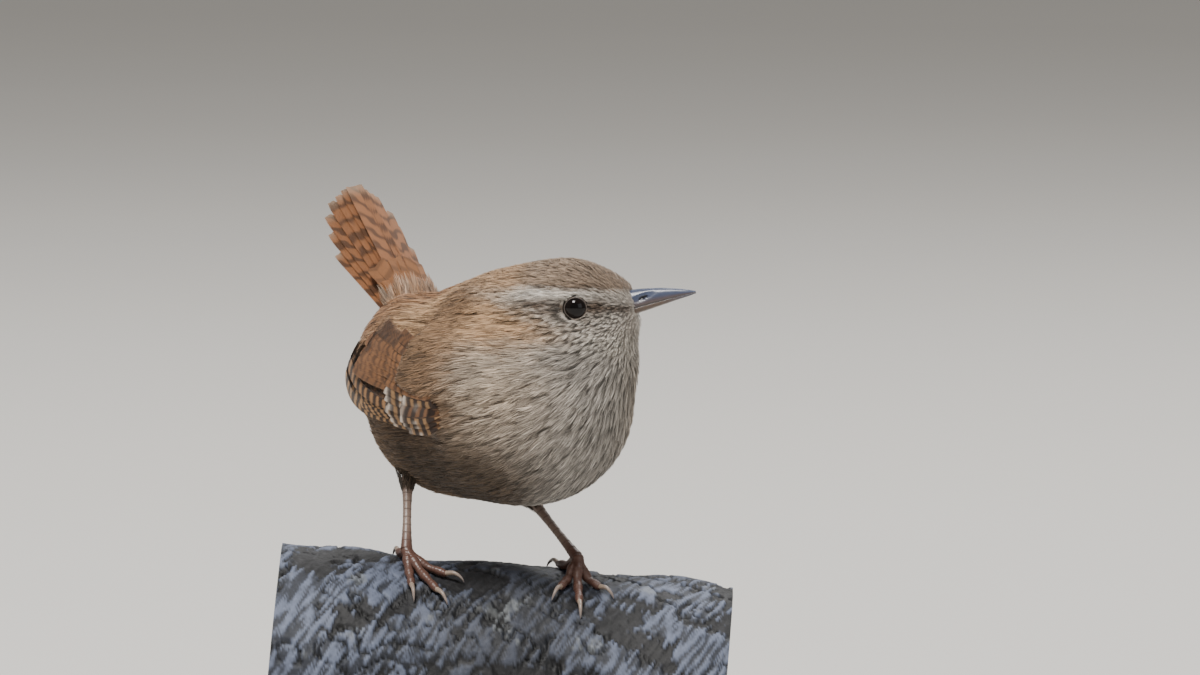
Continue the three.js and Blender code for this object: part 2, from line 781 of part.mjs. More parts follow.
const sides = { right: 1, left: -1 };
const upperBill = mandible(BILL.upper, 1)
  .subtract(nostril(1))
  .subtract(nostril(-1))
  .subtract(trimHead);
const lowerBill = mandible(BILL.lower, -1).subtract(trimHead);
addPart("bill_upper", upperBill, "horn");
addPart("bill_lower", lowerBill, "horn");

let headSolid = headShell;
for (const [name, side] of Object.entries(sides)) {
  const eye = eyeParts(side);
  headSolid = headSolid.add(eye.lid).subtract(eye.socket);
  addPart(`eye_${name}`, eye.ball, "eye");
}
addPart("head", headSolid, "brown");
addPart("neck", neckSolid, "pale");
addPart("torso", torsoSolid, "pale");

for (const [name, side] of Object.entries(sides)) addPart(`wing_${name}`, wing(side), "rufous");
addPart("tail", tailSolid(), "rufous");

for (const name of Object.keys(sides)) {
  const parts = legParts(name);
  addPart(`thigh_${name}`, parts.thigh, "pale");
  addPart(`tarsus_${name}`, parts.tarsus, "scaled");
  addPart(`foot_${name}`, parts.foot, "scaled");
  for (const [toe, claw] of Object.entries(parts.claws)) {
    addPart(`claw_${name}_${toe}`, claw, "horn");
  }
}

let perch = perchSolid();
let base = baseSolid();
for (const [name, x] of [["left", -ROD.spread], ["right", ROD.spread]]) {
  perch = perch.subtract(rodSolid(x, GAP));
  base = base.subtract(rodSolid(x, GAP));
  addPart(`stand_rod_${name}`, rodSolid(x, 0), "steel");
}
addPart("perch", perch, "bark");
addPart("stand_base", base, "board");

export default wren;
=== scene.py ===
"""A life-size Eurasian wren on a cut length of branch, held by a plain display stand.

Shapes are worked out in millimetres in the frame's own axes: +X to the viewer's right along the
branch, -Y towards the viewer, +Z up, with the origin under the middle of the stand's base.
"""

import itertools
import math

import bpy
import numpy as np
from bpy.props import FloatProperty, FloatVectorProperty, IntProperty, PointerProperty
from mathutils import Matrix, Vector, noise


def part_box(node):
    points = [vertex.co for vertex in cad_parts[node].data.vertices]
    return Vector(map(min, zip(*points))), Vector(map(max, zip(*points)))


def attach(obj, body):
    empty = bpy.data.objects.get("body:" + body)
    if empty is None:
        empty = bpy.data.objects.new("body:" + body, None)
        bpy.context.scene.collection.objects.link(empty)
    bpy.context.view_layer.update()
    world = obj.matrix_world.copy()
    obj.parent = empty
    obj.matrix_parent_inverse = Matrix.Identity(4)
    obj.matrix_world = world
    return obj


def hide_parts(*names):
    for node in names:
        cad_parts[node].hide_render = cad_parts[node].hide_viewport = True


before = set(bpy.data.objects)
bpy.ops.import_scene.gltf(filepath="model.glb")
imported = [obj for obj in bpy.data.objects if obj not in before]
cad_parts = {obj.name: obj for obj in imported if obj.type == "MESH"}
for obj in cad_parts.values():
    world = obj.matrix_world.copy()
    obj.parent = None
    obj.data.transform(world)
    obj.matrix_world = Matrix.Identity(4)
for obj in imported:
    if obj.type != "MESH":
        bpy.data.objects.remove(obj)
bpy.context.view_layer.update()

bl_info = {
    "name": "Wren on a perch",
    "version": (1, 0, 0),
    "blender": (4, 5, 0),
    "location": "View3D > Sidebar > Wren",
    "description": "Builds a life-size wren with feathers, its perch, a display stand and a studio",
    "category": "Add Mesh",
}

METRES = 0.001
BAKE_MAP = "OFBake"
TINT = "tint"
PIECE_TRIANGLES = 190000
TUFT_PATCH = 0.003

# The wren's two frames and the smooth form of its plumage, in millimetres and degrees. Each row of
# the form is an ellipsoid: its frame, its centre forward, right and up, and its half sizes.

BODY_CENTRE = (1.0, -2.0, 102.6)
BODY_HEADING = 45
HEAD_CENTRE = (13.6, -11.0, 119.9)
HEAD_YAW = 8
BLEND = 5
FORM = (
    ("body", (6.5, 0, -0.8), (20, 20, 18.7)),
    ("body", (-8.5, 0, -1.2), (19, 18.6, 17.6)),
    ("body", (-17, 0, 6.5), (9.5, 10, 9)),
    ("body", (-3.5, 0, 8.6), (14, 13, 13.2)),
    ("body", (6, 1, 12.8), (12, 11.5, 11.8)),
    ("head", (4.6, 0, -8.6), (8.4, 8.4, 9.6)),
    ("head", (0, 0, 0), (10.8, 9.2, 9.2)),
    ("head", (8.2, 0, 0.2), (4.6, 4.3, 4.4)),
)

EYE = {
    "radius": 2.35,
    "opening": 1.95,
    "at": (2.4, 0.6),
    "turn": 10,
    "inset": 8,
    "socket_depth": 3.2,
    "lid": 0.14,
}
BILL = {
    "root": (7.8, 0, -1.2),
    "rise": 16,
    "length": 16.5,
    "tip_drop": 0.3,
    "seam": 0.04,
    "stations": (0, 0.28, 0.45, 0.65, 0.82, 0.93, 1),
    "upper": (3.7, 3.5, 3.05, 2.3, 1.45, 0.85, 0.3),
    "lower": (1.3, 1.15, 1, 0.75, 0.5, 0.35, 0.12),
    "half": (2.3, 1.9, 1.5, 1.1, 0.72, 0.46, 0.14),
    "nostril": {"along": 0.42, "length": 1.7, "height": 0.5, "above": 1.5},
}
TAIL = {"root": (-17.8, -0.8, 9.5), "pitch": 53, "skew": 2, "spread": 3, "root_spread": 0.3}
PERCH = {"radius": 25, "length": 84, "axis_height": 46.6, "droop": 5.4}
LEGS = {
    "right": {"ankle": (-16.2, -2, 86.2), "along": -18.9, "round": 17, "lift": 3},
    "left": {"ankle": (7.6, 3.4, 82.2), "along": 12.6, "round": 13, "lift": 4},
}
TOES = {
    "right": {"outer": (1.6, 8), "middle": (6.4, 9), "inner": (7.8, 3.6), "hind": (-1.6, -8)},
    "left": {"outer": (-2.6, 6.8), "middle": (1.2, 10), "inner": (4.8, 4.6), "hind": (-3.4, -7.4)},
}
GAP = 0.3

# Heights of the face's markings over the middle of the head, and their half widths.
FACE = {
    "crown": 3.9,
    "brow": 3.15,
    "brow_width": 0.68,
    "upper_line": 1.25,
    "upper_width": 0.5,
    "eye_line": 0.75,
    "line_width": 0.85,
}

# The coat: divisions of the skin, the painted shade that darkens the skin under the feathers, tries at
# placing a root, and the count of barbs with the stations along each for the feathers of the head and of
# the body.
COAT = {
    "skin_divisions": 7,
    "painted_skin_shade": 0.72,
    "tries": 90000,
    "head_barbs": (22, 3),
    "body_barbs": (30, 4),
}

# Loose feathers round the top of each leg, and round the root of the tail.
CUFF = {"feathers": 150, "barbs": (14, 4), "depth": 0.35, "barb_width": 0.1, "top": 5}
FLUFF = {
    "feathers": 560,
    "barbs": (34, 4),
    "depth": 0.4,
    "barb_width": 0.06,
    "half_width": 5.3,
    "half_height": 2.7,
    "drop": 1.2,
}

# Tiers of the folded wing: count, roots and tips as (turn, rise) of the first and last feather,
# width, then for the first and last feather the height over the form and how far the tip stands
# away, and how far the feathers bow.
WING_TIERS = (
    ("primary", 8, ((92, -8), (100, 1)), ((150, 8), (153, 16)), 3.6, (0.8, 1.6), (3.6, 2.4), -6),
    ("secondary", 6, ((94, -2), (100, 12)), ((145, 15), (146, 20)), 4.2, (1.6, 1.6), (2.8, 0.9), -4),
    ("tertial", 6, ((93, 8), (95, 25)), ((133, 14), (136, 29)), 5.2, (2.3, 3.0), (1.9, 1.0), -1),
    ("primary_covert", 5, ((78, -9), (82, -4)), ((106, -9), (111, -2)), 3.2, (1.8, 2.2), (0.3, 0.3), -2),
    ("greater_covert", 9, ((82, -4), (84, 24)), ((109, 1), (114, 28)), 4.2, (2.3, 3.2), (0.5, 0.4), -1),
    ("median_covert", 8, ((72, -6), (74, 24)), ((95, -3), (98, 25)), 4.4, (2.8, 3.0), (0.4, 0.2), -1),
    ("alula", 3, ((73, -9), (73, -4)), ((92, -11), (96, -5)), 3, (3.1, 3.6), (0.3, 0.3), -1),
)
MILLIMETRES_PER_DEGREE = 0.38
BARB_STATIONS = 9

# Tail feathers from the middle one to the outer one, and rows of coverts with length and level.
RECTRIX_LENGTHS = (34, 33.6, 32.6, 30.6, 27.5, 23)
COVERT_ROWS = ((17, 0.5), (14, 0.8), (11, 1.2), (8.5, 1.7))

# Spacing of the bars along each kind of feather, and how much of it is dark.
BARS = {
    "flight": (1.7, 0.56),
    "spotted": (2.2, 0.56),
    "covert": (1.7, 0.4),
    "tail": (3.5, 0.4),
    "tail_covert": (3, 0.4),
    "flank": (1.9, 0.42),
}

# Scutes down the tarsus and along a toe, and the length of a claw past its toe.
SCUTES = {"tarsus": 9, "toe": 15}
CLAWS = {"hind": 4.8, "outer": 3.7, "middle": 3.7, "inner": 3.7}
TOE_JOINTS = {"hind": 1.5, "inner": 2.5, "middle": 3.5, "outer": 3.5}
TOE_RADIUS = 0.55

BARK = {"steps": 300, "sides": 250, "lean": 28, "highest": 0.1}
SAWN_END = {"rings": 34, "middle": 0.004, "pith_height": 47, "ring_pitch": 5.2}
BOARD = {"corner": 12, "corner_steps": 14, "bevel": 0.8}
ROD_SIDES = 64

# Half the width of the floor, in millimetres.
FLOOR_REACH = 20000

# Lamps: name, place and size in metres, power and colour. They face the target.
LAMPS = (
    ("key", (-0.5, -1.1, 2.2), 0.7, 82, (1.0, 0.98, 0.95)),
    ("fill", (1.6, -1.5, 0.9), 1.4, 8, (0.93, 0.96, 1.0)),
    ("back", (0.4, 1.3, 1.8), 1.0, 26, (1.0, 1.0, 1.0)),
)
LAMP_TARGET = (0, 0, 0.1)
AIR_STRENGTH = 0.4

# The photo's camera: its height over the level, where the point at origin_height above the
# origin falls in the picture, and how many of its pixels make a millimetre there.
CAMERA = {
    "elevation": 4,
    "distance": 2.4,
    "sensor": 36,
    "reach": 50,
    "image": (1200, 675),
    "pixels_per_mm": 5.4,
    "origin_pixel": (495, 562),
    "origin_height": 72,
}


def colour(*srgb):
    """Linear colour from 0 to 255 display values."""
    values = [c / 255 for c in srgb]
    return tuple(c / 12.92 if c <= 0.04045 else ((c + 0.055) / 1.055) ** 2.4 for c in values)


# Vectors and the plumage form


def frame_of(origin, heading):
    turn = math.radians(heading)
    forward = np.array([math.cos(turn), -math.sin(turn), 0])
    right = np.cross(forward, [0, 0, 1])
    return {"origin": np.array(origin, float), "axes": np.array([forward, right, [0, 0, 1.0]])}


BODY = frame_of(BODY_CENTRE, BODY_HEADING)
HEAD = frame_of(HEAD_CENTRE, HEAD_YAW)
FRAMES = {"body": BODY, "head": HEAD}


def out_of(where, local):
    """World points from forward, right and up in a frame."""
    return where["origin"] + np.asarray(local, float) @ where["axes"]


def into(where, points):
    """Forward, right and up of world points in a frame."""
    return (points - where["origin"]) @ where["axes"].T


def unit(vectors):
    length = np.linalg.norm(vectors, axis=-1, keepdims=True)
    return vectors / np.maximum(length, 1e-9)


def ramp(low, high, value):
    """A smooth step from 0 at low to 1 at high."""
    t = np.clip((value - low) / (high - low), 0, 1)
    return t * t * (3 - 2 * t)


def bell(centre, width, value):
    return np.exp(-(((value - centre) / width) ** 2))


def mixed(a, b, share):
    """Colour or colours between a and b."""
    share = np.asarray(share)[..., None]
    return a * (1 - share) + b * share


def form_distance(points):
    """Distance from the plumage form, negative inside."""
    distance = None
    for name, at, radii in FORM:
        where = FRAMES[name]
        local = into({"origin": out_of(where, at), "axes": where["axes"]}, points)
        radii = np.array(radii, float)
        near = np.linalg.norm(local / radii, axis=-1)
        slope = np.maximum(np.linalg.norm(local / radii**2, axis=-1), 1e-6)
        one = near * (near - 1) / slope
        if distance is None:
            distance = one
            continue
        overlap = np.maximum(BLEND - np.abs(distance - one), 0) / BLEND
        distance = np.minimum(distance, one) - overlap**2 * BLEND / 4
    return distance


def form_normal(points):
    step = 0.05
    corners = np.array([[1, -1, -1], [-1, -1, 1], [-1, 1, -1], [1, 1, 1]], float)
    total = sum(c * form_distance(points + step * c)[..., None] for c in corners)
    return unit(total)


def settle(points, height, rounds=2):
    """Moves points along the form's normals until they are at a height over it."""
    for _ in range(rounds):
        distance = form_distance(points)
        points = points + form_normal(points) * (height - distance)[..., None]
    return points


def cast(origin, directions, height, limit=60.0):
    """Points on rays from inside the form where they reach a height over it."""
    low = np.zeros(directions.shape[:-1])
    high = np.full(directions.shape[:-1], limit)
    for _ in range(22):
        middle = (low + high) / 2
        inside = form_distance(origin + directions * middle[..., None]) < height
        low = np.where(inside, middle, low)
        high = np.where(inside, high, middle)
    return origin + directions * ((low + high) / 2)[..., None]


def body_direction(side, turn, rise):
    turn = np.radians(turn)
    rise = np.radians(rise)
    local = np.stack(
        [np.cos(turn) * np.cos(rise), side * np.sin(turn) * np.cos(rise), np.sin(rise)], -1
    )
    return local @ BODY["axes"]


def body_angles(points):
    """Turn from straight ahead, 0 to 180, and rise, in degrees, round the body's centre."""
    local = unit(into(BODY, points))
    turn = np.degrees(np.arctan2(np.abs(local[..., 1]), local[..., 0]))
    return turn, np.degrees(np.arcsin(np.clip(local[..., 2], -1, 1)))


def headness(points):
    """1 on the head, 0 on the body."""
    return ramp(-6.5, -1, into(HEAD, points) @ np.array([0.42, 0, 0.91]))


def lie_direction(points, normals):
    """The way feathers lie: away from the bill and on towards the root of the tail."""
    away = points - out_of(HEAD, (14, 0, 0.5))
    towards = out_of(BODY, (-24, 0, 3)) - points
    power = 1.7
    flow = away / np.linalg.norm(away, axis=-1, keepdims=True) ** power
    flow = flow + 1.3 * towards / np.linalg.norm(towards, axis=-1, keepdims=True) ** power
    flow = unit(flow)
    return unit(flow - normals * np.sum(flow * normals, -1, keepdims=True))


def eye_place(side):
    """Centre and outward direction of an eye, and the skin point that it looks through."""
    turn = math.radians(EYE["turn"])
    direction = np.array([math.sin(turn), side * math.cos(turn), 0]) @ HEAD["axes"]
    start = out_of(HEAD, (EYE["at"][0] - EYE["inset"] * math.sin(turn), 0, EYE["at"][1]))
    surface = cast(start, direction[None], np.zeros(1))[0]
    sunk = math.sqrt(EYE["radius"] ** 2 - EYE["opening"] ** 2)
    return surface - direction * sunk, direction, surface


EYES = {"right": eye_place(1), "left": eye_place(-1)}


def clear_of_eyes(points, reach):
    """Pushes points that would lie over an eye out to a ring round it."""
    for _, direction, surface in EYES.values():
        offset = points - surface
        depth = offset @ direction
        across = offset - depth[..., None] * direction
        distance = np.linalg.norm(across, axis=-1)
        near = (np.abs(depth) < 3) & (distance < reach)
        wanted = reach + 0.06 * np.sin(distance * 9)
        pushed = points + unit(across) * (wanted - distance)[..., None]
        points = np.where(near[..., None], pushed, points)
    return points


# Markings, as colours from position on the bird


def plumage_colour(points, tones):
    """Colour of the coat at points near the form, before each feather's own pattern."""
    turn, rise = body_angles(points)
    local = into(HEAD, points)
    ahead, out, up = local[..., 0], np.abs(local[..., 1]), local[..., 2]
    breast, flank, belly = tones["breast"], tones["flank"], tones["belly"]
    # The flank's colour is its own dark brown made darker still as painted shade.
    body = mixed(breast, flank, ramp(30, 78, turn - 0.5 * rise))
    # Painted shade: the belly's colour is darkened as shade of the underside, most low down and towards the
    # rear.
    body = mixed(body, belly, ramp(-10, -42, rise) * ramp(8, 68, turn + 14))
    body = mixed(body, tones["side"], bell(8, 26, rise) * bell(48, 26, turn))
    body = mixed(body, tones["mantle"], ramp(16, 36, rise + 0.12 * (turn - 60)))
    shoulder = ramp(54, 78, turn) * ramp(128, 108, turn) * ramp(-16, -5, rise)
    body = mixed(body, tones["wing"], shoulder * 0.9)
    body = mixed(body, tones["rump"], ramp(128, 156, turn) * ramp(8, 26, rise))
    body = mixed(body, tones["vent"], ramp(112, 150, turn) * ramp(4, -16, rise))
    crown_line = FACE["crown"] - 0.02 * ahead + 0.012 * np.minimum(ahead, 0) ** 2
    head = mixed(tones["cheek"], tones["crown"], ramp(-0.6, 0.9, up - crown_line))
    head = mixed(head, tones["crown"], ramp(7.5, 5.5, out) * ramp(3, 5.5, up))
    nape = ramp(-5, -11, ahead) * ramp(1.5, 4.5, up)
    head = mixed(head, tones["mantle"], nape * 0.8)
    over_brow = up - FACE["brow"] + 0.06 * (ahead - 3) * (ahead > 3)
    brow = bell(0, FACE["brow_width"], over_brow) * ramp(-12, -7, ahead) * ramp(8.5, 5.5, ahead)
    head = mixed(head, tones["brow"], brow * ramp(3, 5, out) * 0.9)
    over_line = up - FACE["eye_line"] - 0.05 * (2 - ahead)
    line = bell(0, FACE["line_width"], over_line) * ramp(-11, -6, ahead)
    head = mixed(head, tones["line"], line * ramp(2.5, 4, out) * 0.9)
    upper = bell(FACE["upper_line"], FACE["upper_width"], over_brow)
    upper = upper * ramp(-9, -4, ahead) * ramp(9, 6, ahead)
    head = mixed(head, tones["line"], upper * ramp(2.5, 4, out) * 0.55)
    lore = bell(6.2, 1.7, ahead) * bell(0.9, 1.9, up) * ramp(2, 4, out)
    head = mixed(head, tones["line"], lore * 0.8)
    throat = ramp(-3, -6.5, up) * ramp(-6, 2, ahead)
    head = mixed(head, tones["throat"], throat)
    streak = 0.5 + 0.5 * np.sin(2.6 * (up + 0.55 * ahead) + 0.8 * np.sin(1.3 * ahead))
    mottle = ramp(-5.5, -1, up) * ramp(2.4, 0.2, up) * ramp(8, 3, ahead) * ramp(4, 6, out)
    head = mixed(head, tones["line"], mottle * 0.8 * streak)
    return mixed(body, head, headness(points))


def bar_wave(value, pitch, share):
    """1 in dark bars and 0 between them; share is how much of the pitch is dark."""
    wave = 0.5 + 0.5 * np.cos(2 * np.pi * value / pitch)
    edge = 0.5 + 0.5 * math.cos(math.pi * share)
    softness = 0.14
    return ramp(edge - softness, edge + softness, wave)


# Meshes


def new_piece(name, points, faces, tint=None, bake=None, smooth=True):
    """A mesh object from points in millimetres and faces with equal counts of corners.

    tint is one colour, or a colour for each point. bake gives each point its place on the unwrap.
    """
    mesh = bpy.data.meshes.new(name)
    faces = np.asarray(faces, np.int32)
    sides = faces.shape[1]
    mesh.vertices.add(len(points))
    mesh.vertices.foreach_set("co", (np.asarray(points) * METRES).astype(np.float32).ravel())
    mesh.loops.add(faces.size)
    mesh.loops.foreach_set("vertex_index", faces.ravel())
    mesh.polygons.add(len(faces))
    mesh.polygons.foreach_set("loop_start", np.arange(0, faces.size, sides, dtype=np.int32))
    mesh.update(calc_edges=True)
    mesh.polygons.foreach_set("use_smooth", np.full(len(faces), smooth))
    if tint is not None:
        rgba = np.ones((len(points), 4), np.float32)
        rgba[:, :3] = np.clip(tint, 0, 1)
        layer = mesh.color_attributes.new(TINT, "FLOAT_COLOR", "POINT")
        layer.data.foreach_set("color", rgba.ravel())
    if bake is not None:
        layer = mesh.uv_layers.new(name=BAKE_MAP)
        layer.data.foreach_set("uv", bake[faces.ravel()].astype(np.float32).ravel())
    mesh.update()
    piece = bpy.data.objects.new(name, mesh)
    bpy.context.scene.collection.objects.link(piece)
    return piece


def finish_piece(piece, material, slot, *nodes):
    """Gives a piece its material and the nodes of the solid model that it replaces. The slot is not used.
    """
    piece.data.materials.append(material)
    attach(piece, "root")
    if nodes:
        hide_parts(*nodes)


def sphere_map(points):
    """Places on an unwrap of the skin by turn and rise round the body's centre."""
    local = unit(into(BODY, points))
    across = np.arctan2(local[..., 1], -local[..., 0]) / (2 * np.pi) + 0.5
    upward = np.arcsin(np.clip(local[..., 2], -1, 1)) / np.pi + 0.5
    return np.stack([0.01 + 0.98 * across, 0.01 + 0.98 * upward], -1)


def ribbons(centres, half, tint, bake):
    """Tapered strips along centre lines. Shapes are (count, stations, 3); the last station is a tip."""
    count, stations = centres.shape[:2]
    left = centres[:, :-1] - half[:, :-1]
    right = centres[:, :-1] + half[:, :-1]
    points = np.concatenate(
        [np.stack([left, right], 2).reshape(count, -1, 3), centres[:, -1:]], 1
    )
    per = 2 * (stations - 1) + 1

    def doubled(values):
        first = np.repeat(values[:, :-1], 2, axis=1)
        return np.concatenate([first, values[:, -1:]], 1).reshape(count * per, -1)

    pattern = []
    for k in range(stations - 2):
        a = 2 * k
        pattern += [(a, a + 1, a + 3), (a, a + 3, a + 2)]
    a = 2 * (stations - 2)
    pattern.append((a, a + 1, a + 2))
    faces = np.array(pattern)[None] + (np.arange(count) * per)[:, None, None]
    return points.reshape(-1, 3), faces.reshape(-1, 3), doubled(tint), doubled(bake)


def joined(parts):
    """Joins (points, faces, tint, bake) groups into one."""
    starts = np.cumsum([0] + [len(part[0]) for part in parts[:-1]])
    faces = np.concatenate([part[1] + start for part, start in zip(parts, starts)])
    points, tint, bake = (np.concatenate([part[k] for part in parts]) for k in (0, 2, 3))
    return points, faces, tint, bake


def loft(rings, cap=True):
    """Points and triangles through rings of equal size, with both ends closed to their middles."""
    rings = np.asarray(rings)
    count, sides = rings.shape[:2]
    index = np.arange(count * sides).reshape(count, sides)
    a = index[:-1]
    b = np.roll(index, -1, axis=1)[:-1]
    c = np.roll(index, -1, axis=1)[1:]
    d = index[1:]
    faces = np.concatenate([np.stack(corners, -1).reshape(-1, 3) for corners in ((a, b, c), (a, c, d))])
    points = rings.reshape(-1, 3)
    if not cap:
        return points, faces
    low, high = len(points), len(points) + 1
    points = np.concatenate([points, [rings[0].mean(0), rings[-1].mean(0)]])
    first, last = index[0], index[-1]
    start = np.stack([first, np.full(sides, low), np.roll(first, -1)], -1)
    end = np.stack([last, np.roll(last, -1), np.full(sides, high)], -1)
    return points, np.concatenate([faces, start, end])


def curve_points(controls, count):
    """A smooth curve through control points, evenly counted in its parameter."""
    controls = np.asarray(controls, float)
    ends = np.concatenate([[2 * controls[0] - controls[1]], controls, [2 * controls[-1] - controls[-2]]])
    place = np.linspace(0, len(controls) - 1, count)
    low = np.minimum(place.astype(int), len(controls) - 2)
    t = (place - low)[:, None]
    p0, p1, p2, p3 = (ends[low + k] for k in range(4))
    return 0.5 * (
        2 * p1 + (p2 - p0) * t + (2 * p0 - 5 * p1 + 4 * p2 - p3) * t**2 + (3 * p1 - p0 - 3 * p2 + p3) * t**3
    )


def tube_rings(controls, radius, sides, steps, reference):
    """Rings round a curve. radius takes the share of its length, and the angle, which is 0 where
    the ring faces the reference direction."""
    centre = curve_points(controls, steps + 1)
    along = unit(np.gradient(centre, axis=0))
    front = unit(reference - along * (along @ reference)[:, None])
    side = np.cross(along, front)
    t = np.linspace(0, 1, steps + 1)[:, None]
    angle = (2 * np.pi * np.arange(sides) / sides)[None]
    reach = np.broadcast_to(radius(t, angle), (steps + 1, sides))[..., None]
    return centre[:, None] + reach * (
        np.cos(angle)[..., None] * front[:, None] + np.sin(angle)[..., None] * side[:, None]
    )


# Materials


def node_material(name, roughness, detail, scale, bump, settings=()):
    """A material that multiplies the tint by fine noise and adds bump from the same noise."""
    material = bpy.data.materials.new(name)
    material.use_nodes = True
    nodes, links = material.node_tree.nodes, material.node_tree.links
    shader = nodes["Principled BSDF"]
    shader.inputs["Roughness"].default_value = roughness
    for key, value in settings:
        shader.inputs[key].default_value = value
    tint = nodes.new("ShaderNodeAttribute")
    tint.attribute_name = TINT
    place = nodes.new("ShaderNodeTexCoord")
    grain = nodes.new("ShaderNodeTexNoise")
    grain.inputs["Scale"].default_value = scale
    grain.inputs["Detail"].default_value = 6
    links.new(place.outputs["Object"], grain.inputs["Vector"])
    levels = nodes.new("ShaderNodeMapRange")
    levels.inputs["To Min"].default_value = 1 - detail
    levels.inputs["To Max"].default_value = 1 + detail
    links.new(grain.outputs["Fac"], levels.inputs["Value"])
    product = nodes.new("ShaderNodeVectorMath")
    product.operation = "SCALE"
    links.new(tint.outputs["Color"], product.inputs[0])
    links.new(levels.outputs["Result"], product.inputs["Scale"])
    links.new(product.outputs["Vector"], shader.inputs["Base Color"])
    if bump:
        height = nodes.new("ShaderNodeBump")
        height.inputs["Strength"].default_value = 0.6
        height.inputs["Distance"].default_value = bump * METRES
        links.new(grain.outputs["Fac"], height.inputs["Height"])
        links.new(height.outputs["Normal"], shader.inputs["Normal"])
    return material


def vane_material(name):
    return node_material(name, 0.62, 0.12, 2200, 0, (("Sheen Weight", 0.15), ("Specular IOR Level", 0.3)))


# Body feathers


def skin_grid():
    """A fine sphere cast onto the form from the body's centre, as faces and outer points."""
    bpy.ops.mesh.primitive_ico_sphere_add(subdivisions=COAT["skin_divisions"], radius=1)
    ball = bpy.context.active_object
    directions = np.zeros(len(ball.data.vertices) * 3)
    ball.data.vertices.foreach_get("co", directions)
    directions = unit(directions.reshape(-1, 3))
    faces = np.zeros(len(ball.data.polygons) * 3, np.int32)
    ball.data.polygons.foreach_get("vertices", faces)
    bpy.data.objects.remove(ball)
    outer = cast(BODY["origin"], directions, np.zeros(len(directions)))
    return faces.reshape(-1, 3), outer


def by_head(points, body_size, head_size):
    """A length in millimetres that goes from one size on the body to another on the head."""
    head = headness(points)
    return (body_size * (1 - head) + head_size * head) / METRES


def wing_shelf(points):
    """Extra height of the small feathers: over the front of a folded wing, and under its rear."""
    turn, rise = body_angles(points)
    edge = 80 + 28 * ramp(-2, 10, rise)
    wide = ramp(34, 74, turn) * ramp(edge + 9, edge - 4, turn)
    high = 1.8 + 2.2 * ramp(-3, 8, rise)
    front = high * wide * ramp(-34, -8, rise) * ramp(52, 26, rise)
    rear = ramp(108, 148, turn) * ramp(184, 164, turn) * ramp(-12, 8, rise) * ramp(58, 36, rise)
    return front + 3.4 * rear


def scatter(faces, points, spacing, rng, tries):
    """Roots spread over a surface so that none are closer than the spacing at their place."""
    corners = points[faces]
    area = np.linalg.norm(np.cross(corners[:, 1] - corners[:, 0], corners[:, 2] - corners[:, 0]), axis=1)
    weight = area / spacing(corners.mean(1)) ** 2
    chosen = rng.choice(len(faces), tries, p=weight / weight.sum())
    a = np.sqrt(rng.random(tries))[:, None]
    b = rng.random(tries)[:, None]
    spots = corners[chosen, 0] * (1 - a) + corners[chosen, 1] * a * (1 - b) + corners[chosen, 2] * a * b
    limits = spacing(spots)
    cells_of = np.floor(spots / limits.max()).astype(int)
    steps = tuple(itertools.product((-1, 0, 1), repeat=3))
    table = {}
    kept = []
    for i, (spot, limit, (x, y, z)) in enumerate(zip(spots.tolist(), limits, cells_of.tolist())):
        near = (other for dx, dy, dz in steps for other in table.get((x + dx, y + dy, z + dz), ()))
        if all(math.dist(spot, other) >= limit for other in near):
            table.setdefault((x, y, z), []).append(spot)
            kept.append(i)
    return spots[kept]


def barb_lines(size, barbs, rng):
    """Distances along and across each feather for every station of every barb.

    barbs is their count and the stations along each. They leave the shaft in turn on both sides.
    """
    barbs, stations = barbs
    count = len(size)
    side = np.where(np.arange(barbs) % 2 == 0, -1.0, 1.0)[None]
    order = (np.arange(barbs) // 2 + 0.5) / ((barbs + 1) // 2)
    order = np.clip(order[None] + rng.normal(0, 0.03, (count, barbs)), 0.02, 1)
    start = size * (0.06 + 0.66 * order)
    reach = size * (0.38 + 0.16 * np.sin(np.pi * order)) * rng.uniform(0.75, 1.15, (count, barbs))
    angle = np.radians(32 - 25 * order) * rng.uniform(0.6, 1.25, (count, barbs))
    q = np.linspace(0, 1, stations)[None, None]
    bend = angle[..., None] * (1 - 0.45 * q)
    u = start[..., None] + reach[..., None] * q * np.cos(bend)
    v = side[..., None] * reach[..., None] * q * np.sin(bend)
    twist = rng.normal(0, 0.12, count)[:, None, None]
    return u * np.cos(twist) - v * np.sin(twist), u * np.sin(twist) + v * np.cos(twist)


def feather_tint(base, roots, u, v, size, share, rng):
    """Colours along the barbs: grain, a dark middle, a pale fringe, flecks, scales, flank bars, and painted
    shade that darkens each feather towards its root.
    """
    count, barbs, _ = u.shape
    tint = base[:, None, None] * np.ones(u.shape + (3,))
    grain = rng.normal(0, 0.16, (count, 1, 1, 1)) + rng.normal(0, 0.32, (count, barbs, 1, 1))
    tint = tint * (1 + np.clip(grain, -0.7, 0.9))
    tint = tint * (1 - 0.2 * bell(0, 0.22, v / size[..., None])[..., None])
    tint = tint * (1 + 0.24 * ramp(0.7, 1.02, share)[..., None])
    local = into(HEAD, roots)
    head = headness(roots)
    cheek = head * ramp(3.5, 5.5, np.abs(local[:, 1])) * ramp(2.5, 0.5, local[:, 2])
    cheek = (cheek * ramp(-10, -4, local[:, 2]))[:, None, None, None]
    fleck = 0.36 + 0.92 * ramp(0.4, 0.85, share)[..., None]
    tint = tint * (1 - cheek + cheek * fleck)
    turn, rise = body_angles(roots)
    scaled = ramp(64, 80, turn) * ramp(125, 110, turn) * ramp(0, 8, rise) * ramp(46, 34, rise)
    scaled = (scaled * (1 - head))[:, None, None, None]
    tint = tint * (1 - 0.4 * scaled * ramp(0.72, 0.92, share)[..., None])
    barred = ramp(62, 100, turn) * ramp(12, -6, rise) * (1 - head)
    bars = bar_wave(u - 0.35 * np.abs(v), *BARS["flank"])[..., None]
    tint = tint * (1 - 0.42 * bars * barred[:, None, None, None])
    # Painted shade: each feather is darker towards its root, where the feathers over it would shade it.
    return tint * (0.6 + 0.4 * ramp(0.1, 0.6, share))[..., None]


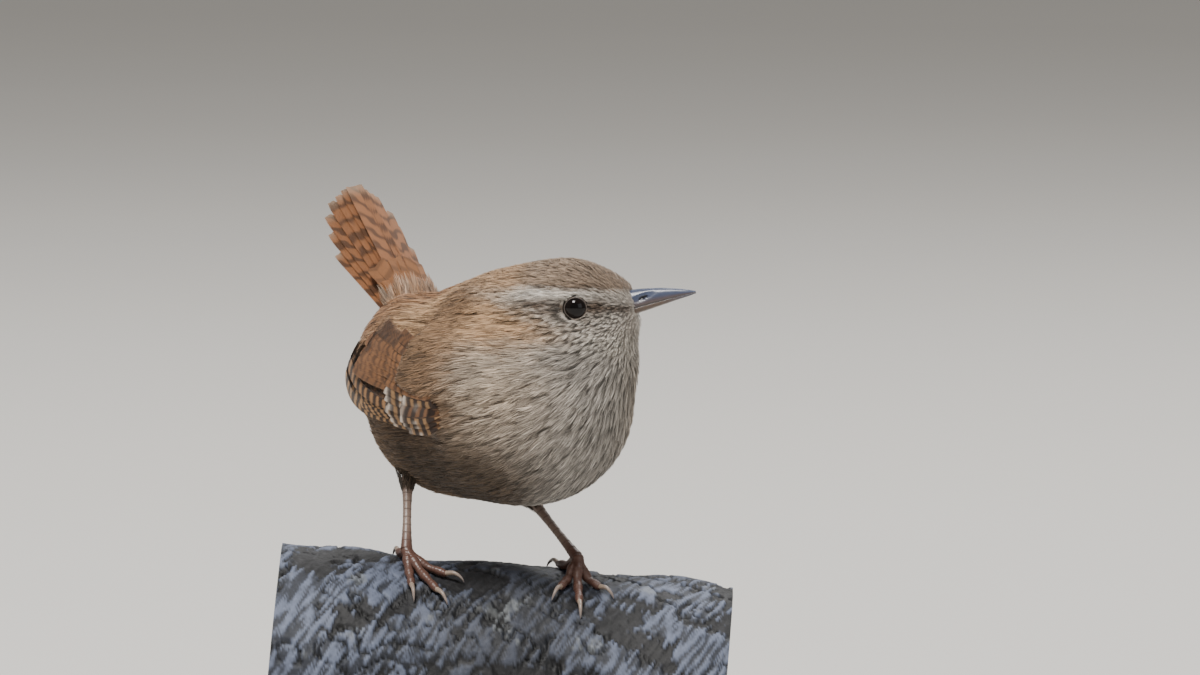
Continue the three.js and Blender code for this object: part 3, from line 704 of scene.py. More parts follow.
def loose_feathers(roots, normals, along, length, depth, raised, tones, barbs, rng, width, base=None):
    """Body feathers as fans of fine barbs. Everything is worked out for all feathers at once.

    Feathers with a base colour stand free. The others take the colour of their place and lie on
    the form: depth is how deep their roots are, and raised is how far their tips stand off it.
    """
    across = np.cross(along, normals)
    size = length[:, None]
    u, v = barb_lines(size, barbs, rng)
    count, barb_count, stations = u.shape
    spots = (
        roots[:, None, None]
        + u[..., None] * along[:, None, None]
        + v[..., None] * across[:, None, None]
    )
    depth = np.broadcast_to(depth, count)[:, None, None]
    raised = np.broadcast_to(raised, count)[:, None, None]
    share = np.clip(u / size[..., None], 0, 1.08)
    lift = -depth * np.clip(1 - share, 0, 1) ** 1.3 + raised * share**2
    lift = lift + rng.normal(0, 0.07, (count, barb_count))[..., None] * share
    lift = lift - 0.06 * np.abs(v)
    if base is None:
        flat = spots.reshape(-1, 3)
        outward = form_normal(flat)
        wanted = lift.reshape(-1) + wing_shelf(flat)
        flat = flat + outward * (wanted - form_distance(flat))[:, None]
        spots = clear_of_eyes(flat, EYE["opening"] + EYE["lid"]).reshape(spots.shape)
        outward = outward.reshape(spots.shape)
        tips = roots + along * (0.75 * length)[:, None]
        base = plumage_colour(settle(tips, np.zeros(count), 1), tones)
    else:
        outward = np.broadcast_to(normals[:, None, None], spots.shape)
        spots = spots + (lift + depth)[..., None] * outward
    heading = unit(np.gradient(spots, axis=2))
    flatways = unit(np.cross(heading, outward))
    tilt = rng.normal(0, 0.45, (count, barb_count))[..., None, None]
    half = flatways * np.cos(tilt) + outward * np.sin(tilt)
    taper = 1 - 0.75 * np.linspace(0, 1, stations) ** 2
    half = half * (width * size / 5)[..., None, None] * taper[:, None]
    tint = feather_tint(base, roots, u, v, size, share, rng)
    patch = TUFT_PATCH * np.stack([v / size[..., None], share - 0.5], -1)
    bake = sphere_map(roots)[:, None, None] + patch
    barbs_of = (values.reshape(-1, stations, values.shape[-1]) for values in (spots, half, tint, bake))
    return ribbons(*barbs_of)


def leg_cuffs(tones, rng):
    """Short feathers round the top of each leg, where it leaves the underside."""
    groups = []
    for name in LEGS:
        ankle, _, shin = leg_line(name)
        sideways = unit(np.cross(shin, [0, 1.0, 0]))
        front = np.cross(shin, sideways)
        count = CUFF["feathers"]
        angle = rng.uniform(0, 2 * np.pi, count)
        outward = np.cos(angle)[:, None] * sideways + np.sin(angle)[:, None] * front
        upward = rng.uniform(0.6, CUFF["top"], count)
        roots = ankle - shin * upward[:, None] + outward * (0.9 + 0.32 * upward)[:, None]
        along = unit(shin - outward * 0.3)
        length = rng.uniform(1.8, 2.8, count)
        # The cuffs take the belly's colour, which holds painted shade of the underside.
        base = np.broadcast_to(tones["belly"], roots.shape)
        groups.append(
            loose_feathers(roots, outward, along, length, CUFF["depth"], 0, tones, CUFF["barbs"],
                           rng, CUFF["barb_width"], base)
        )
    return joined(groups)


def rump_fluff(tones, rng):
    """Long loose feathers that stand up from the rump round the root of the tail."""
    where = tail_frame()
    count = FLUFF["feathers"]
    angle = rng.uniform(0, 2 * np.pi, count)
    under = ramp(0.1, -0.4, np.sin(angle))
    ahead = rng.uniform(0.5, 6.5, count) - 1.5 * under
    upward = (FLUFF["half_height"] + 0.9 * under) * np.sin(angle) - FLUFF["drop"]
    roots = out_of(where, np.stack([ahead, FLUFF["half_width"] * np.cos(angle), upward], -1))
    outward = np.stack([0 * angle, np.cos(angle) * 0.8, np.sin(angle)], -1)
    spread = rng.normal(0, 0.07, (count, 3))
    lean = 0.1 - 0.42 * under * rng.uniform(0.4, 1, count)
    along = unit(np.array([1.0, 0, 0]) + lean[:, None] * outward + spread) @ where["axes"]
    outward = unit(outward) @ where["axes"]
    length = rng.uniform(4.5, 7.5, count) + 2 * under
    base = mixed(tones["vent"], tones["golden"], ramp(-0.3, 0.5, np.sin(angle)))
    base = mixed(base, tones["brow"], 0.05 + 0.25 * rng.random(count))
    return loose_feathers(roots, outward, along, length, FLUFF["depth"], 0, tones, FLUFF["barbs"],
                          rng, FLUFF["barb_width"], base)


def build_skin(sizes, tones):
    """The skin under the coat, with its eye sockets. Gives its faces and the form's points."""
    faces, outer = skin_grid()
    skin = settle(outer, -by_head(outer, sizes.body_coat, sizes.head_coat))
    for _, direction, surface in EYES.values():
        offset = skin - surface
        inward = offset @ direction
        distance = np.linalg.norm(offset - inward[:, None] * direction, axis=1)
        socket = ramp(EYE["opening"] + 0.35, EYE["opening"] - 0.3, distance) * (inward > -4)
        skin = skin - direction * (EYE["socket_depth"] * socket)[:, None]
    # The skin takes the coat's colour darkened as painted shade under the feathers.
    tint = plumage_colour(outer, tones) * COAT["painted_skin_shade"]
    piece = new_piece("skin", skin, faces, tint, sphere_map(outer))
    down = node_material("under_down", 0.95, 0.25, 900, 0.2)
    finish_piece(piece, down, "plumage", "torso", "neck", "head", "thigh_right", "thigh_left")
    return faces, outer


def feather_roots(sizes, faces, outer, rng):
    """Roots all over the form, with none on the eyes or under the bill."""

    def spacing(points):
        face = ramp(2, 9, into(HEAD, points)[..., 0]) * headness(points)
        return by_head(points, sizes.body_spacing, sizes.head_spacing) - 0.14 * face

    roots = scatter(faces, outer, spacing, rng, COAT["tries"])
    for _, _, surface in EYES.values():
        roots = roots[np.linalg.norm(roots - surface, axis=1) > EYE["opening"] + 0.3]
    ahead, across, up = into(bill_frame(), roots).T
    return roots[~((ahead > 0) & (np.abs(across) < 1.7) & (up > -1.1) & (up < 2.9))]


def build_coat(sizes, tones):
    rng = np.random.default_rng(sizes.seed)
    faces, outer = build_skin(sizes, tones)
    roots = feather_roots(sizes, faces, outer, rng)
    normals = form_normal(roots)
    along = lie_direction(roots, normals)
    head = headness(roots)
    face = ramp(0, 10, into(HEAD, roots)[:, 0]) * head
    length = by_head(roots, sizes.body_feather, sizes.head_feather) - 1.3 * face
    length = length * rng.uniform(0.85, 1.15, len(roots))
    turn, rise = body_angles(roots)
    length = length * (1 + 0.35 * ramp(120, 160, turn) * (1 - head))
    depth = by_head(roots, sizes.body_coat, sizes.head_coat)
    raised = 0.12 + 0.5 * ramp(120, 165, turn) * ramp(10, 30, rise) * (1 - head)
    groups = {}
    for name, there in (("head", head > 0.5), ("body", head <= 0.5)):
        groups[name] = loose_feathers(
            roots[there], normals[there], along[there], length[there], depth[there], raised[there],
            tones, COAT[f"{name}_barbs"], rng, sizes.barb_width / METRES,
        )
    groups["cuffs"] = leg_cuffs(tones, rng)
    groups["rump"] = rump_fluff(tones, rng)
    soft = node_material("body_feathers", 0.78, 0.16, 2600, 0,
                         (("Sheen Weight", 0.25), ("Specular IOR Level", 0.25)))
    for name, (points, faces, tint, bake) in groups.items():
        pieces = math.ceil(len(faces) / PIECE_TRIANGLES)
        for k, part in enumerate(np.array_split(faces, pieces)):
            used, index = np.unique(part, return_inverse=True)
            index = index.reshape(part.shape)
            piece = new_piece(f"coat_{name}_{k + 1}", points[used], index, tint[used], bake[used])
            finish_piece(piece, soft, "plumage")


# Flight feathers


def vane(place, length, width, spacing, paint, cell, outer_side=-1, outer_share=0.38, blunt=0.9):
    """A flight feather as close barbs on both sides of a shaft.

    place takes distance along and across in millimetres and gives points and normals. paint takes
    the same, the share of the way out along the barb and whether it is on the outer side, and
    gives colours. cell is the corner and size of its patch on the unwrap.
    """
    count = int(length / spacing)
    s = np.linspace(0.03, 1, count)
    groups = []
    for side in (-1, 1):
        share = outer_share if side == outer_side else 1 - outer_share
        profile = np.clip(s / 0.22, 0, 1) ** 0.6 * (1 - np.clip((s - 0.8) / 0.2, 0, 1) ** 2.4 * blunt)
        reach = width * share * profile
        slant = np.radians(46 - 14 * s)
        q = np.linspace(0, 1, BARB_STATIONS)[None]
        back = reach[:, None] * q / np.tan(slant)[:, None] * (0.75 + 0.25 * q)
        top = np.clip(length - s * length, 0.25, None)[:, None] * 1.02
        back = np.minimum(back, top + 0.3 * reach[:, None])
        u = s[:, None] * length + back - 0.18 * reach.max() * (1 - s[:, None])
        v = side * reach[:, None] * q
        spots, normals = place(u, v)
        heading = unit(np.gradient(spots, axis=1))
        half = unit(np.cross(heading, normals)) * spacing * 0.62
        half = half * (1 - 0.3 * q[..., None] ** 3)
        tint = paint(u, v, np.broadcast_to(q, u.shape), side == outer_side)
        bake = cell[0] + np.stack([0.5 + v / (2 * width), u / (1.3 * length)], -1) * cell[1]
        groups.append(ribbons(spots, half, tint, bake))
    t = np.linspace(0, 0.97, BARB_STATIONS)[None]
    u = t * length
    middle = np.zeros_like(u)
    spots, normals = place(u, middle)
    heading = unit(np.gradient(spots, axis=1))
    raised = spots + normals * 0.08
    half = unit(np.cross(heading, normals)) * (0.2 * (1 - 0.8 * t))[..., None]
    shaft = paint(u, middle, middle, False) * 0.55
    bake = cell[0] + np.stack([0.5 + middle, u / (1.3 * length)], -1) * cell[1]
    groups.append(ribbons(raised, half, shaft, bake))
    return joined(groups)


def cells(count):
    """Corners and size of equal square patches for that many feathers."""
    across = math.ceil(math.sqrt(count))
    size = 1 / across
    margin = 0.05 * size
    return [(np.array([i % across, i // across]) * size + margin, 0.9 * size) for i in range(count)]


def wing_paint(kind, tones, share, length, rng):
    """Colours of a wing feather of its kind, at its share of the way up through its tier."""
    shift = rng.uniform(0, 2.2)
    light = rng.uniform(0.9, 1.1)
    spotted = kind in ("primary_covert", "alula") or (kind.endswith("covert") and share < 0.3)
    barred = kind in ("primary", "secondary")
    strength = {"tertial": 0.62, "greater_covert": 0.7}.get(kind, 0.45)

    def checked(u, v, q, outer):
        pitch, dark = BARS["spotted" if spotted else "flight"]
        wobble = 0.3 * np.sin(1.7 * u + shift) + 0.25 * np.sin(3.1 * v + shift * 2)
        bars = bar_wave(u + wobble * 0.3 + shift * 0.3 + 0.4 * np.abs(v), pitch, dark)
        ground = tones["check"] if outer else tones["rufous"]
        if kind == "secondary" and outer:
            ground = (tones["check"] + tones["rufous"]) / 2
        out = mixed(ground * light * (0.7 if spotted else 1), tones["bar"], bars)
        if not spotted:
            return out
        t = u / length
        spot = bell(1.0, 0.07, t) + bell(0.62, 0.06, t) * ramp(0.3, 0.8, q)
        spot = np.clip(spot, 0, 1) * (0.8 if outer else 0.5) * (1 - 0.6 * bars)
        return mixed(out, tones["spot"], spot)

    def plain(u, v, q, outer):
        wobble = 0.3 * np.sin(1.7 * u + shift) + 0.25 * np.sin(3.1 * v + shift * 2)
        bars = bar_wave(u + wobble + shift + 0.45 * np.abs(v), *BARS["covert"])
        out = mixed(tones["rufous"] * light, tones["bar"], bars * strength)
        out = mixed(out, tones["bar"], bell(0.78, 0.12, q) * 0.25)
        return mixed(out, tones["wing"], ramp(0.86, 1, q) * 0.4)

    return checked if spotted or barred else plain


def wing_place(side, first, run, length, lift, stand, bow, width):
    """Places on a feather that lies over the form from its first (turn, rise) along its run."""
    degrees = np.linalg.norm(run)

    def place(u, v):
        t = u / length
        offset = side * v / MILLIMETRES_PER_DEGREE / degrees
        turn = first[0] + run[0] * t - run[1] * offset
        rise = first[1] + run[1] * t + run[0] * offset + bow * 4 * t * (1 - t)
        ventral = -side * v / width
        height = lift * np.clip(0.4 + 2.4 * t, 0, 1) + stand * np.clip(t, 0, 2) ** 2.5
        height = height + 0.55 * ventral - 0.5 * ventral**2
        direction = body_direction(side, turn, rise)
        spots = cast(BODY["origin"], direction.reshape(-1, 3), height.reshape(-1))
        return spots.reshape(direction.shape), direction

    return place


def build_wings(sizes, tones):
    silky = vane_material("flight_feathers")
    spacing = sizes.barb_spacing / METRES
    total = sum(tier[1] for tier in WING_TIERS)
    for name, side in (("right", 1), ("left", -1)):
        rng = np.random.default_rng(sizes.seed + side)
        patches = iter(cells(total))
        groups = []
        for kind, count, roots, tips, width, heights, stands, bow in WING_TIERS:
            for share in (k / (count - 1) for k in range(count)):
                first, last, lift, stand = (
                    np.array(pair[0]) * (1 - share) + np.array(pair[1]) * share
                    for pair in (roots, tips, heights, stands)
                )
                run = last + rng.normal(0, 0.6, 2) - first
                length = np.linalg.norm(run) * MILLIMETRES_PER_DEGREE * 1.08
                place = wing_place(side, first, run, length, lift, stand, bow, width)
                paint = wing_paint(kind, tones, share, length, rng)
                groups.append(vane(place, length, width, spacing, paint, next(patches), outer_side=-side))
        points, faces, tint, bake = joined(groups)
        piece = new_piece(f"wing_{name}_feathers", points, faces, tint, bake)
        finish_piece(piece, silky, "flight_feather", f"wing_{name}")


def tail_frame():
    """The tail's root, with axes along it, across it and up from its upper side."""
    pitch = math.radians(TAIL["pitch"])
    forward, right, up = BODY["axes"]
    line = -math.cos(pitch) * forward + math.sin(pitch) * up
    skew = math.radians(TAIL["skew"])
    ahead = line * math.cos(skew) + right * math.sin(skew)
    across = -right * math.cos(skew) + line * math.sin(skew)
    axes = np.array([ahead, across, np.cross(line, right)])
    return {"origin": out_of(BODY, TAIL["root"]), "axes": axes}


def tail_rows():
    """The tail's feathers: kind, side, angle from the middle, shift at the root, length, width,
    level over the tail's plane and how far the root sinks from there."""
    rows = []
    for k, length in enumerate(RECTRIX_LENGTHS):
        for side in (-1, 1):
            angle = TAIL["spread"] * (k + 0.5)
            shift = TAIL["root_spread"] * (k + 0.5)
            rows.append(("rectrix", side, angle, shift, length, 6.4, -0.3 * k, 0))
    for row, (length, level) in enumerate(COVERT_ROWS):
        count = 6 - row % 2
        for place in (j - (count - 1) / 2 for j in range(count)):
            side = 1 if place >= 0 else -1
            angle = 5.5 * abs(place) + 0.1
            shift = 0.5 * abs(place)
            rows.append(("covert", side, angle, shift, length, 5.2, level, 1.5))
            rows.append(("under", side, angle, shift, length * 0.92, 5, -2.1 - 0.5 * row, -1.2))
    return rows


def tail_place(kind, side, turn, shift, size, level, sink):
    """Places on a tail feather that turns from the middle by an angle in radians."""
    where = tail_frame()

    def place(u, v):
        sideways = side * shift + np.sin(turn) * u + v * np.cos(turn)
        ahead = np.cos(turn) * u - v * np.sin(turn)
        rise = level - 0.014 * sideways**2 + sink * (1 - np.clip(u / size, 0, 1)) ** 2
        rise = rise - 0.07 * side * v * (1 if kind != "under" else -1)
        spots = out_of(where, np.stack([ahead, sideways, rise], -1))
        return spots, np.broadcast_to(where["axes"][2], spots.shape)

    return place


def tail_paint(kind, tones, size, rng):
    """Colours of a tail feather or one of its coverts."""
    phase = rng.uniform(-0.9, 0.9)
    light = rng.uniform(0.9, 1.1)

    def rectrix(u, v, q, outer):
        wobble = 0.5 * np.sin(1.3 * v + phase * 4) + 0.3 * np.sin(2.4 * u + phase)
        bars = bar_wave(u + phase + wobble * 1.3 - 0.3 * np.abs(v), *BARS["tail"])
        out = mixed(tones["tail"] * light, tones["bar"], bars * 0.7)
        return mixed(out, tones["tip"], ramp(size * 0.95, size * 1.05, u) * 0.7)

    def covert(u, v, q, outer):
        base = tones["vent"] * light
        if kind == "covert":
            base = mixed(tones["golden"] * light, tones["tail"] * light, ramp(0.45, 1, u / size) * 0.8)
        bars = bar_wave(u + phase - 0.4 * np.abs(v), *BARS["tail_covert"])
        return mixed(base, tones["bar"], bars * 0.4)

    return rectrix if kind == "rectrix" else covert


def build_tail(sizes, tones):
    rng = np.random.default_rng(sizes.seed + 5)
    rows = tail_rows()
    groups = []
    for (kind, side, angle, shift, length, width, level, sink), cell in zip(rows, cells(len(rows))):
        turn = math.radians(side * angle + rng.normal(0, 0.5))
        size = length + rng.normal(0, 0.35)
        level = level + (0.1 if side > 0 else 0)
        place = tail_place(kind, side, turn, shift, size, level, sink)
        paint = tail_paint(kind, tones, size, rng)
        groups.append(
            vane(place, size, width, sizes.barb_spacing / METRES, paint, cell, outer_side=side,
                 blunt=0.5 if kind == "rectrix" else 0.95)
        )
    points, faces, tint, bake = joined(groups)
    piece = new_piece("tail_feathers", points, faces, tint, bake)
    finish_piece(piece, vane_material("tail_vanes"), "flight_feather", "tail")


# Bill and eyes


def bill_frame():
    """The bill's root, with axes along it, to the bird's right and up."""
    rise = math.radians(BILL["rise"])
    forward, right, up = HEAD["axes"]
    ahead = forward * math.cos(rise) + up * math.sin(rise)
    axes = np.array([ahead, right, np.cross(right, ahead)])
    return {"origin": out_of(HEAD, BILL["root"]), "axes": axes}


def smoothed(values):
    """The values with their corners rounded over a short way to both sides."""
    reach = 8
    kernel = np.hanning(2 * reach + 1)
    return np.convolve(np.pad(values, reach, mode="edge"), kernel / kernel.sum(), mode="valid")


def build_bill(tones):
    where = bill_frame()
    stations, arc = 130, 48
    t = np.linspace(0, 1, stations)
    width = smoothed(np.interp(t, BILL["stations"], BILL["half"]))[:, None]
    angle = np.linspace(0, np.pi, arc)[None]
    ridge = np.broadcast_to(np.sin(angle) ** 0.8, (stations, arc))
    seam = BILL["seam"] / 2
    slit = BILL["nostril"]
    horn = node_material("horn", 0.3, 0.14, 1500, 0.05, (("Specular IOR Level", 0.55),))
    for name, sign, turned in (("upper", 1, slice(None, None, -1)), ("lower", -1, slice(None))):
        depth = smoothed(np.interp(t, BILL["stations"], BILL[name]))[:, None]
        across = width * np.cos(angle)
        height = seam + np.maximum(depth - seam, 0.05) * ridge
        # The upper half's colour holds a painted blue-grey reflection of the sky; its lower edge takes the
        # brown of the lower half.
        paint = np.broadcast_to(tones["bill"] if sign > 0 else tones["bill_lower"], height.shape + (3,))
        if sign > 0:
            along = (t[:, None] - slit["along"]) * BILL["length"] / (slit["length"] / 2)
            upward = (height - slit["above"] - 0.1 * along) / (slit["height"] / 2)
            inside = along**2 + upward**2
            off_ridge = np.abs(across) > 0.3 * width
            dent = ramp(1.5, 0.5, inside) * off_ridge
            hollow = ramp(7, 1.5, inside / 1.6) * 0.12 * off_ridge
            across = across * (1 - 0.3 * dent - hollow)
            paint = mixed(paint, tones["bill_lower"], ramp(0.5, 0.1, ridge) * 0.75)
            # Painted shade: the nostril's slit is darkened as the shade inside it.
            paint = paint * (1 - 0.93 * dent[..., None])
        # Painted shade: both halves are darkened along the mouth line where they meet.
        paint = paint * (1 - 0.6 * ramp(0.12, 0, ridge))[..., None]
        if sign < 0:
            # Towards the tip the lower half takes the upper half's colour, and with it the painted
            # reflection.
            paint = mixed(paint, tones["bill"], ramp(0.55, 0.95, t)[:, None] * 0.6)
        drop = BILL["tip_drop"] * t[:, None] ** 4
        forward = np.broadcast_to(t[:, None] * BILL["length"], height.shape)
        local = np.stack([forward, across, sign * height - drop], -1)
        points, faces = loft(out_of(where, local)[:, turned])
        tint = np.concatenate([paint[:, turned].reshape(-1, 3), paint[[0, -1], 0]])
        piece = new_piece(f"bill_{name}_horn", points, faces, tint)
        finish_piece(piece, horn, "horn", f"bill_{name}")


def build_eyeball(name, centre, turn, tones, wet):
    """The ball of an eye, with its iris in a ring round the middle of its front."""
    bpy.ops.mesh.primitive_uv_sphere_add(segments=64, ring_count=40, radius=EYE["radius"])
    ball = bpy.context.active_object
    local = np.zeros(len(ball.data.vertices) * 3)
    ball.data.vertices.foreach_get("co", local)
    local = local.reshape(-1, 3)
    outlines = [tuple(face.vertices) for face in ball.data.polygons]
    bpy.data.objects.remove(ball)
    faces = [(o[0], o[k], o[k + 1]) for o in outlines for k in range(1, len(o) - 1)]
    facing = local[:, 2] / EYE["radius"]
    iris = ramp(0.55, 0.7, facing) * ramp(0.93, 0.86, facing)
    tint = mixed(tones["eye"], tones["iris"], iris)
    piece = new_piece(f"eye_{name}_ball", local @ turn.T + centre, faces, tint)
    finish_piece(piece, wet, "eye", f"eye_{name}")


def build_eyelid(name, surface, turn, tones, rim):
    """A beaded rim round an eye."""
    segments, section, beads = 90, 12, 30
    ring = EYE["opening"] + 0.06
    level = -0.05
    small = np.linspace(0, 2 * np.pi, section, endpoint=False)
    rings = []
    for phi in np.linspace(0, 2 * np.pi, segments, endpoint=False):
        radius = EYE["lid"] * (1 + 0.16 * math.sin(phi * beads))
        out = np.array([math.cos(phi), 0.93 * math.sin(phi), 0])
        body = out[None] * (ring + radius * np.cos(small))[:, None]
        body[:, 2] = level + radius * np.sin(small) * 1.15
        rings.append(body @ turn.T + surface)
    points, faces = loft(rings + rings[:1], cap=False)
    finish_piece(new_piece(f"eyelid_{name}", points, faces, tones["lid"]), rim, "scaled_skin")


def build_eyes(tones):
    wet = node_material("eyeball", 0.04, 0.3, 700, 0, (("IOR", 1.36), ("Specular IOR Level", 0.4)))
    rim = node_material("eyelid", 0.5, 0.25, 3000, 0.06)
    for name, (centre, direction, surface) in EYES.items():
        turn = np.array(Vector((0, 0, 1)).rotation_difference(Vector(direction)).to_matrix())
        build_eyeball(name, centre, turn, tones, wet)
        build_eyelid(name, surface, turn, tones, rim)


# Perch, legs and feet


def perch_axes():
    """Directions along the perch, up from its axis and towards the viewer."""
    droop = math.radians(PERCH["droop"])
    return (
        np.array([math.cos(droop), 0, -math.sin(droop)]),
        np.array([math.sin(droop), 0, math.cos(droop)]),
        np.array([0, -1.0, 0]),
    )


def bark_radius(along, angle):
    """The perch's radius with the branch's own unevenness."""
    return (
        PERCH["radius"]
        + 0.35 * np.sin(along * 0.21 + 1.3)
        + 0.3 * np.sin(3 * angle + along * 0.09)
        + 0.22 * np.sin(7 * angle - along * 0.31)
    )


def perch_point(along, round_degrees, height):
    """Points at a height over the bark, by the way along the perch and round it from its crest."""
    axis, crest, near = perch_axes()
    along = np.asarray(along, float)
    angle = np.radians(round_degrees)
    reach = bark_radius(along, angle) + height
    origin = np.array([0, 0, PERCH["axis_height"]])
    return (
        origin
        + along[..., None] * axis
        + (reach * np.cos(angle))[..., None] * crest
        + (reach * np.sin(angle))[..., None] * near
    )


def leg_line(name):
    """Top and foot of a tarsus, and the direction down it."""
    leg = LEGS[name]
    ankle = np.array(leg["ankle"], float)
    joint = perch_point(leg["along"], leg["round"], leg["lift"])
    return ankle, joint, unit(joint - ankle)


def scute(t, count):
    """A saw wave that steps out at each scute's lower edge."""
    phase = (t * count) % 1
    return phase**2 * ramp(1, 0.9, phase)


def tarsus_radius(t, angle):
    radius = np.interp(t, np.linspace(0, 1, 6), (1.25, 0.86, 0.73, 0.72, 0.83, 1.05))
    front = ramp(-0.3, 0.4, np.cos(angle))
    ridge = 0.07 * scute(t, SCUTES["tarsus"]) * front + 0.02 * np.sin(t * 130) * (1 - front)
    return radius * (1 - 0.07 * np.cos(2 * angle)) + ridge


def grooves(t, count, start):
    """Darkening towards the lower edge of each of that many scutes."""
    return (1 - 0.45 * ramp(start, 1, (t * count) % 1))[:, None]


def build_tarsus(name, tones, scales):
    ankle, joint, shin = leg_line(name)
    top = ankle - shin * 1.6
    steps, sides = 190, 40
    viewer = np.array([0.3, -1.0, 0.1])
    path = [top, (top + joint) / 2, joint - shin * 0.1]
    points, faces = loft(tube_rings(path, tarsus_radius, sides, steps, viewer))
    t = np.repeat(np.linspace(0, 1, steps + 1), sides)
    tint = mixed(tones["leg"], tones["foot"], ramp(0.6, 1, t)) * grooves(t, SCUTES["tarsus"], 0.82)
    tint = np.vstack([tint, tint[:1], tint[-1:]])
    piece = new_piece(f"tarsus_{name}_scutes", points, faces, tint)
    finish_piece(piece, scales, "scaled_skin", f"tarsus_{name}")


def over_perch(leg, run, share, height):
    """A point over the perch at a share of a toe's run, which is (along, round) in millimetres."""
    degrees_per_mm = 180 / (math.pi * PERCH["radius"])
    turn = leg["round"] + run[1] * share * degrees_per_mm
    return perch_point(leg["along"] + run[0] * share, turn, height)


def toe_group(name, toe, tones):
    """A toe with its pads and scutes, and the outward direction that its claw takes over."""
    leg = LEGS[name]
    run = TOES[name][toe]
    _, joint, shin = leg_line(name)
    rest = GAP / 2 + TOE_RADIUS
    path = [
        joint + shin * 0.2,
        over_perch(leg, run, 0.22, leg["lift"] * 0.55 + rest * 0.45),
        over_perch(leg, run, 0.5, rest + 0.3),
        over_perch(leg, run, 0.78, rest + 0.12),
        over_perch(leg, run, 1.02, rest),
    ]

    def thick(t, angle):
        pads = 0.13 * np.cos(t * TOE_JOINTS[toe] * 2 * np.pi) * (1 - 0.4 * t)
        upper = ramp(-0.2, 0.5, -np.cos(angle))
        end = np.sqrt(1 - np.clip((t - 0.93) / 0.07, 0, 1) ** 2 * 0.7)
        return (1.0 - 0.36 * t + pads + 0.06 * scute(t, SCUTES["toe"]) * upper) * end

    out = unit(path[2] - np.array([path[2][0], 0, PERCH["axis_height"]]))
    steps, sides = 120, 28
    points, faces = loft(tube_rings(path, thick, sides, steps, -out))
    t = np.repeat(np.linspace(0, 1, steps + 1), sides)
    tint = tones["foot"] * grooves(t, SCUTES["toe"], 0.8)
    tint = np.vstack([tint, tint[:1], tint[-1:]])
    return (points, faces, tint, np.zeros((len(points), 2))), out


def build_claw(name, toe, out, tones, horn):
    leg = LEGS[name]
    run = TOES[name][toe]
    reach = math.hypot(*run)
    length = CLAWS[toe]
    rest = GAP / 2 + TOE_RADIUS
    path = [
        over_perch(leg, run, 1 + distance / reach, height)
        for distance, height in (
            (-0.2, rest + 0.12),
            (length * 0.4, rest + 0.72),
            (length * 0.78, rest + 0.3),
            (length, GAP / 2),
        )
    ]
    steps, sides = 40, 18
    rings = tube_rings(path, lambda t, angle: 0.46 * (1 - t) ** 0.7 + 0.03, sides, steps, -out)
    points, faces = loft(rings)
    t = np.append(np.repeat(np.linspace(0, 1, steps + 1), sides), (0, 1))
    # The claw darkens towards its point by taking half of the bill's colour, with its painted blue-grey
    # reflection.
    tint = mixed(tones["claw"], tones["bill"], 0.5 * t)
    piece = new_piece(f"claw_{name}_{toe}_horn", points, faces, tint)
    finish_piece(piece, horn, "horn", f"claw_{name}_{toe}")


def build_legs(tones):
    scales = node_material("scutes", 0.38, 0.2, 1800, 0.05, (("Specular IOR Level", 0.5),))
    horn = node_material("claws", 0.3, 0.15, 2500, 0.02, (("Specular IOR Level", 0.5),))
    for name in LEGS:
        build_tarsus(name, tones, scales)
        groups = []
        for toe in TOES[name]:
            group, out = toe_group(name, toe, tones)
            groups.append(group)
            build_claw(name, toe, out, tones, horn)
        points, faces, tint, _ = joined(groups)
        piece = new_piece(f"foot_{name}_toes", points, faces, tint)
        finish_piece(piece, scales, "scaled_skin", f"foot_{name}")


def bark_relief(points, along, angle):
    """Height of the bark's texture in millimetres, and how much each point is of its outer layer,
    its striations, its cracks and its lichen."""

    def grain(*place):
        return noise.noise(Vector(place))

    marks = np.zeros((5, len(points)))
    lean = math.radians(BARK["lean"])
    for i, (point, s, a) in enumerate(zip(points, along, angle)):
        arc = (a if a < math.pi else a - 2 * math.pi) * PERCH["radius"]
        across = s * math.cos(lean) + arc * math.sin(lean)
        down = arc * math.cos(lean) - s * math.sin(lean)
        hatch = grain(across * 1.25, down * 0.22, 7.7)
        fine = grain(across * 3.4, down * 0.5, 1.7)
        rough = grain(*point * 0.8) + 0.5 * grain(*point * 2.1)
        patch = grain(s * 0.07, arc * 0.1, 3.1) + 0.55 * grain(*point * 0.27)
        whole = patch + 0.34 * hatch + 0.2 * rough + 0.12
        warp = grain(*point * 0.13)
        split = grain(s * 0.035 + 0.7 * warp, arc * 0.085 + 0.8 * warp, 4.2)
        crack = max(0.0, 1 - abs(split + 0.04 * hatch) / 0.028)
        lichen = grain(*point * 0.15 + (3.3, 8.1, 1.7)) + 0.3 * rough
        marks[:, i] = whole, hatch + 0.5 * fine, crack, lichen, rough
    whole, streaks, cracks, lichen, rough = marks
    layer = ramp(-0.05, 0.05, whole)
    relief = 0.34 * layer + 0.16 * streaks + 0.1 * rough - 0.9 * cracks**1.3 - 0.3
    return np.minimum(relief, BARK["highest"]), layer, streaks, cracks, lichen


def sawn_end(end, rim, tones):
    """The flat end of the perch from its rim of bark in to the pith, with growth rings."""
    middle = perch_point(np.array(end * PERCH["length"] / 2), 0, -PERCH["radius"])
    share = np.linspace(1, SAWN_END["middle"], SAWN_END["rings"])[:, None, None]
    disc = middle + (rim - middle)[None] * share
    points, faces = loft(disc[:, ::-1] if end < 0 else disc, cap=False)
    reach = np.linalg.norm(points - middle, axis=1)
    turn = np.arctan2(points[:, 1], points[:, 2] - SAWN_END["pith_height"])
    wave = 0.5 + 0.5 * np.sin(reach * SAWN_END["ring_pitch"] + 0.8 * np.sin(turn * 3))
    tint = mixed(tones["wood"], tones["wood_ring"], 0.55 * wave)
    tint = mixed(tint, tones["bark"], ramp(PERCH["radius"] - 2.2, PERCH["radius"] - 1.2, reach))
    return points, faces, tint, np.zeros((len(points), 2))


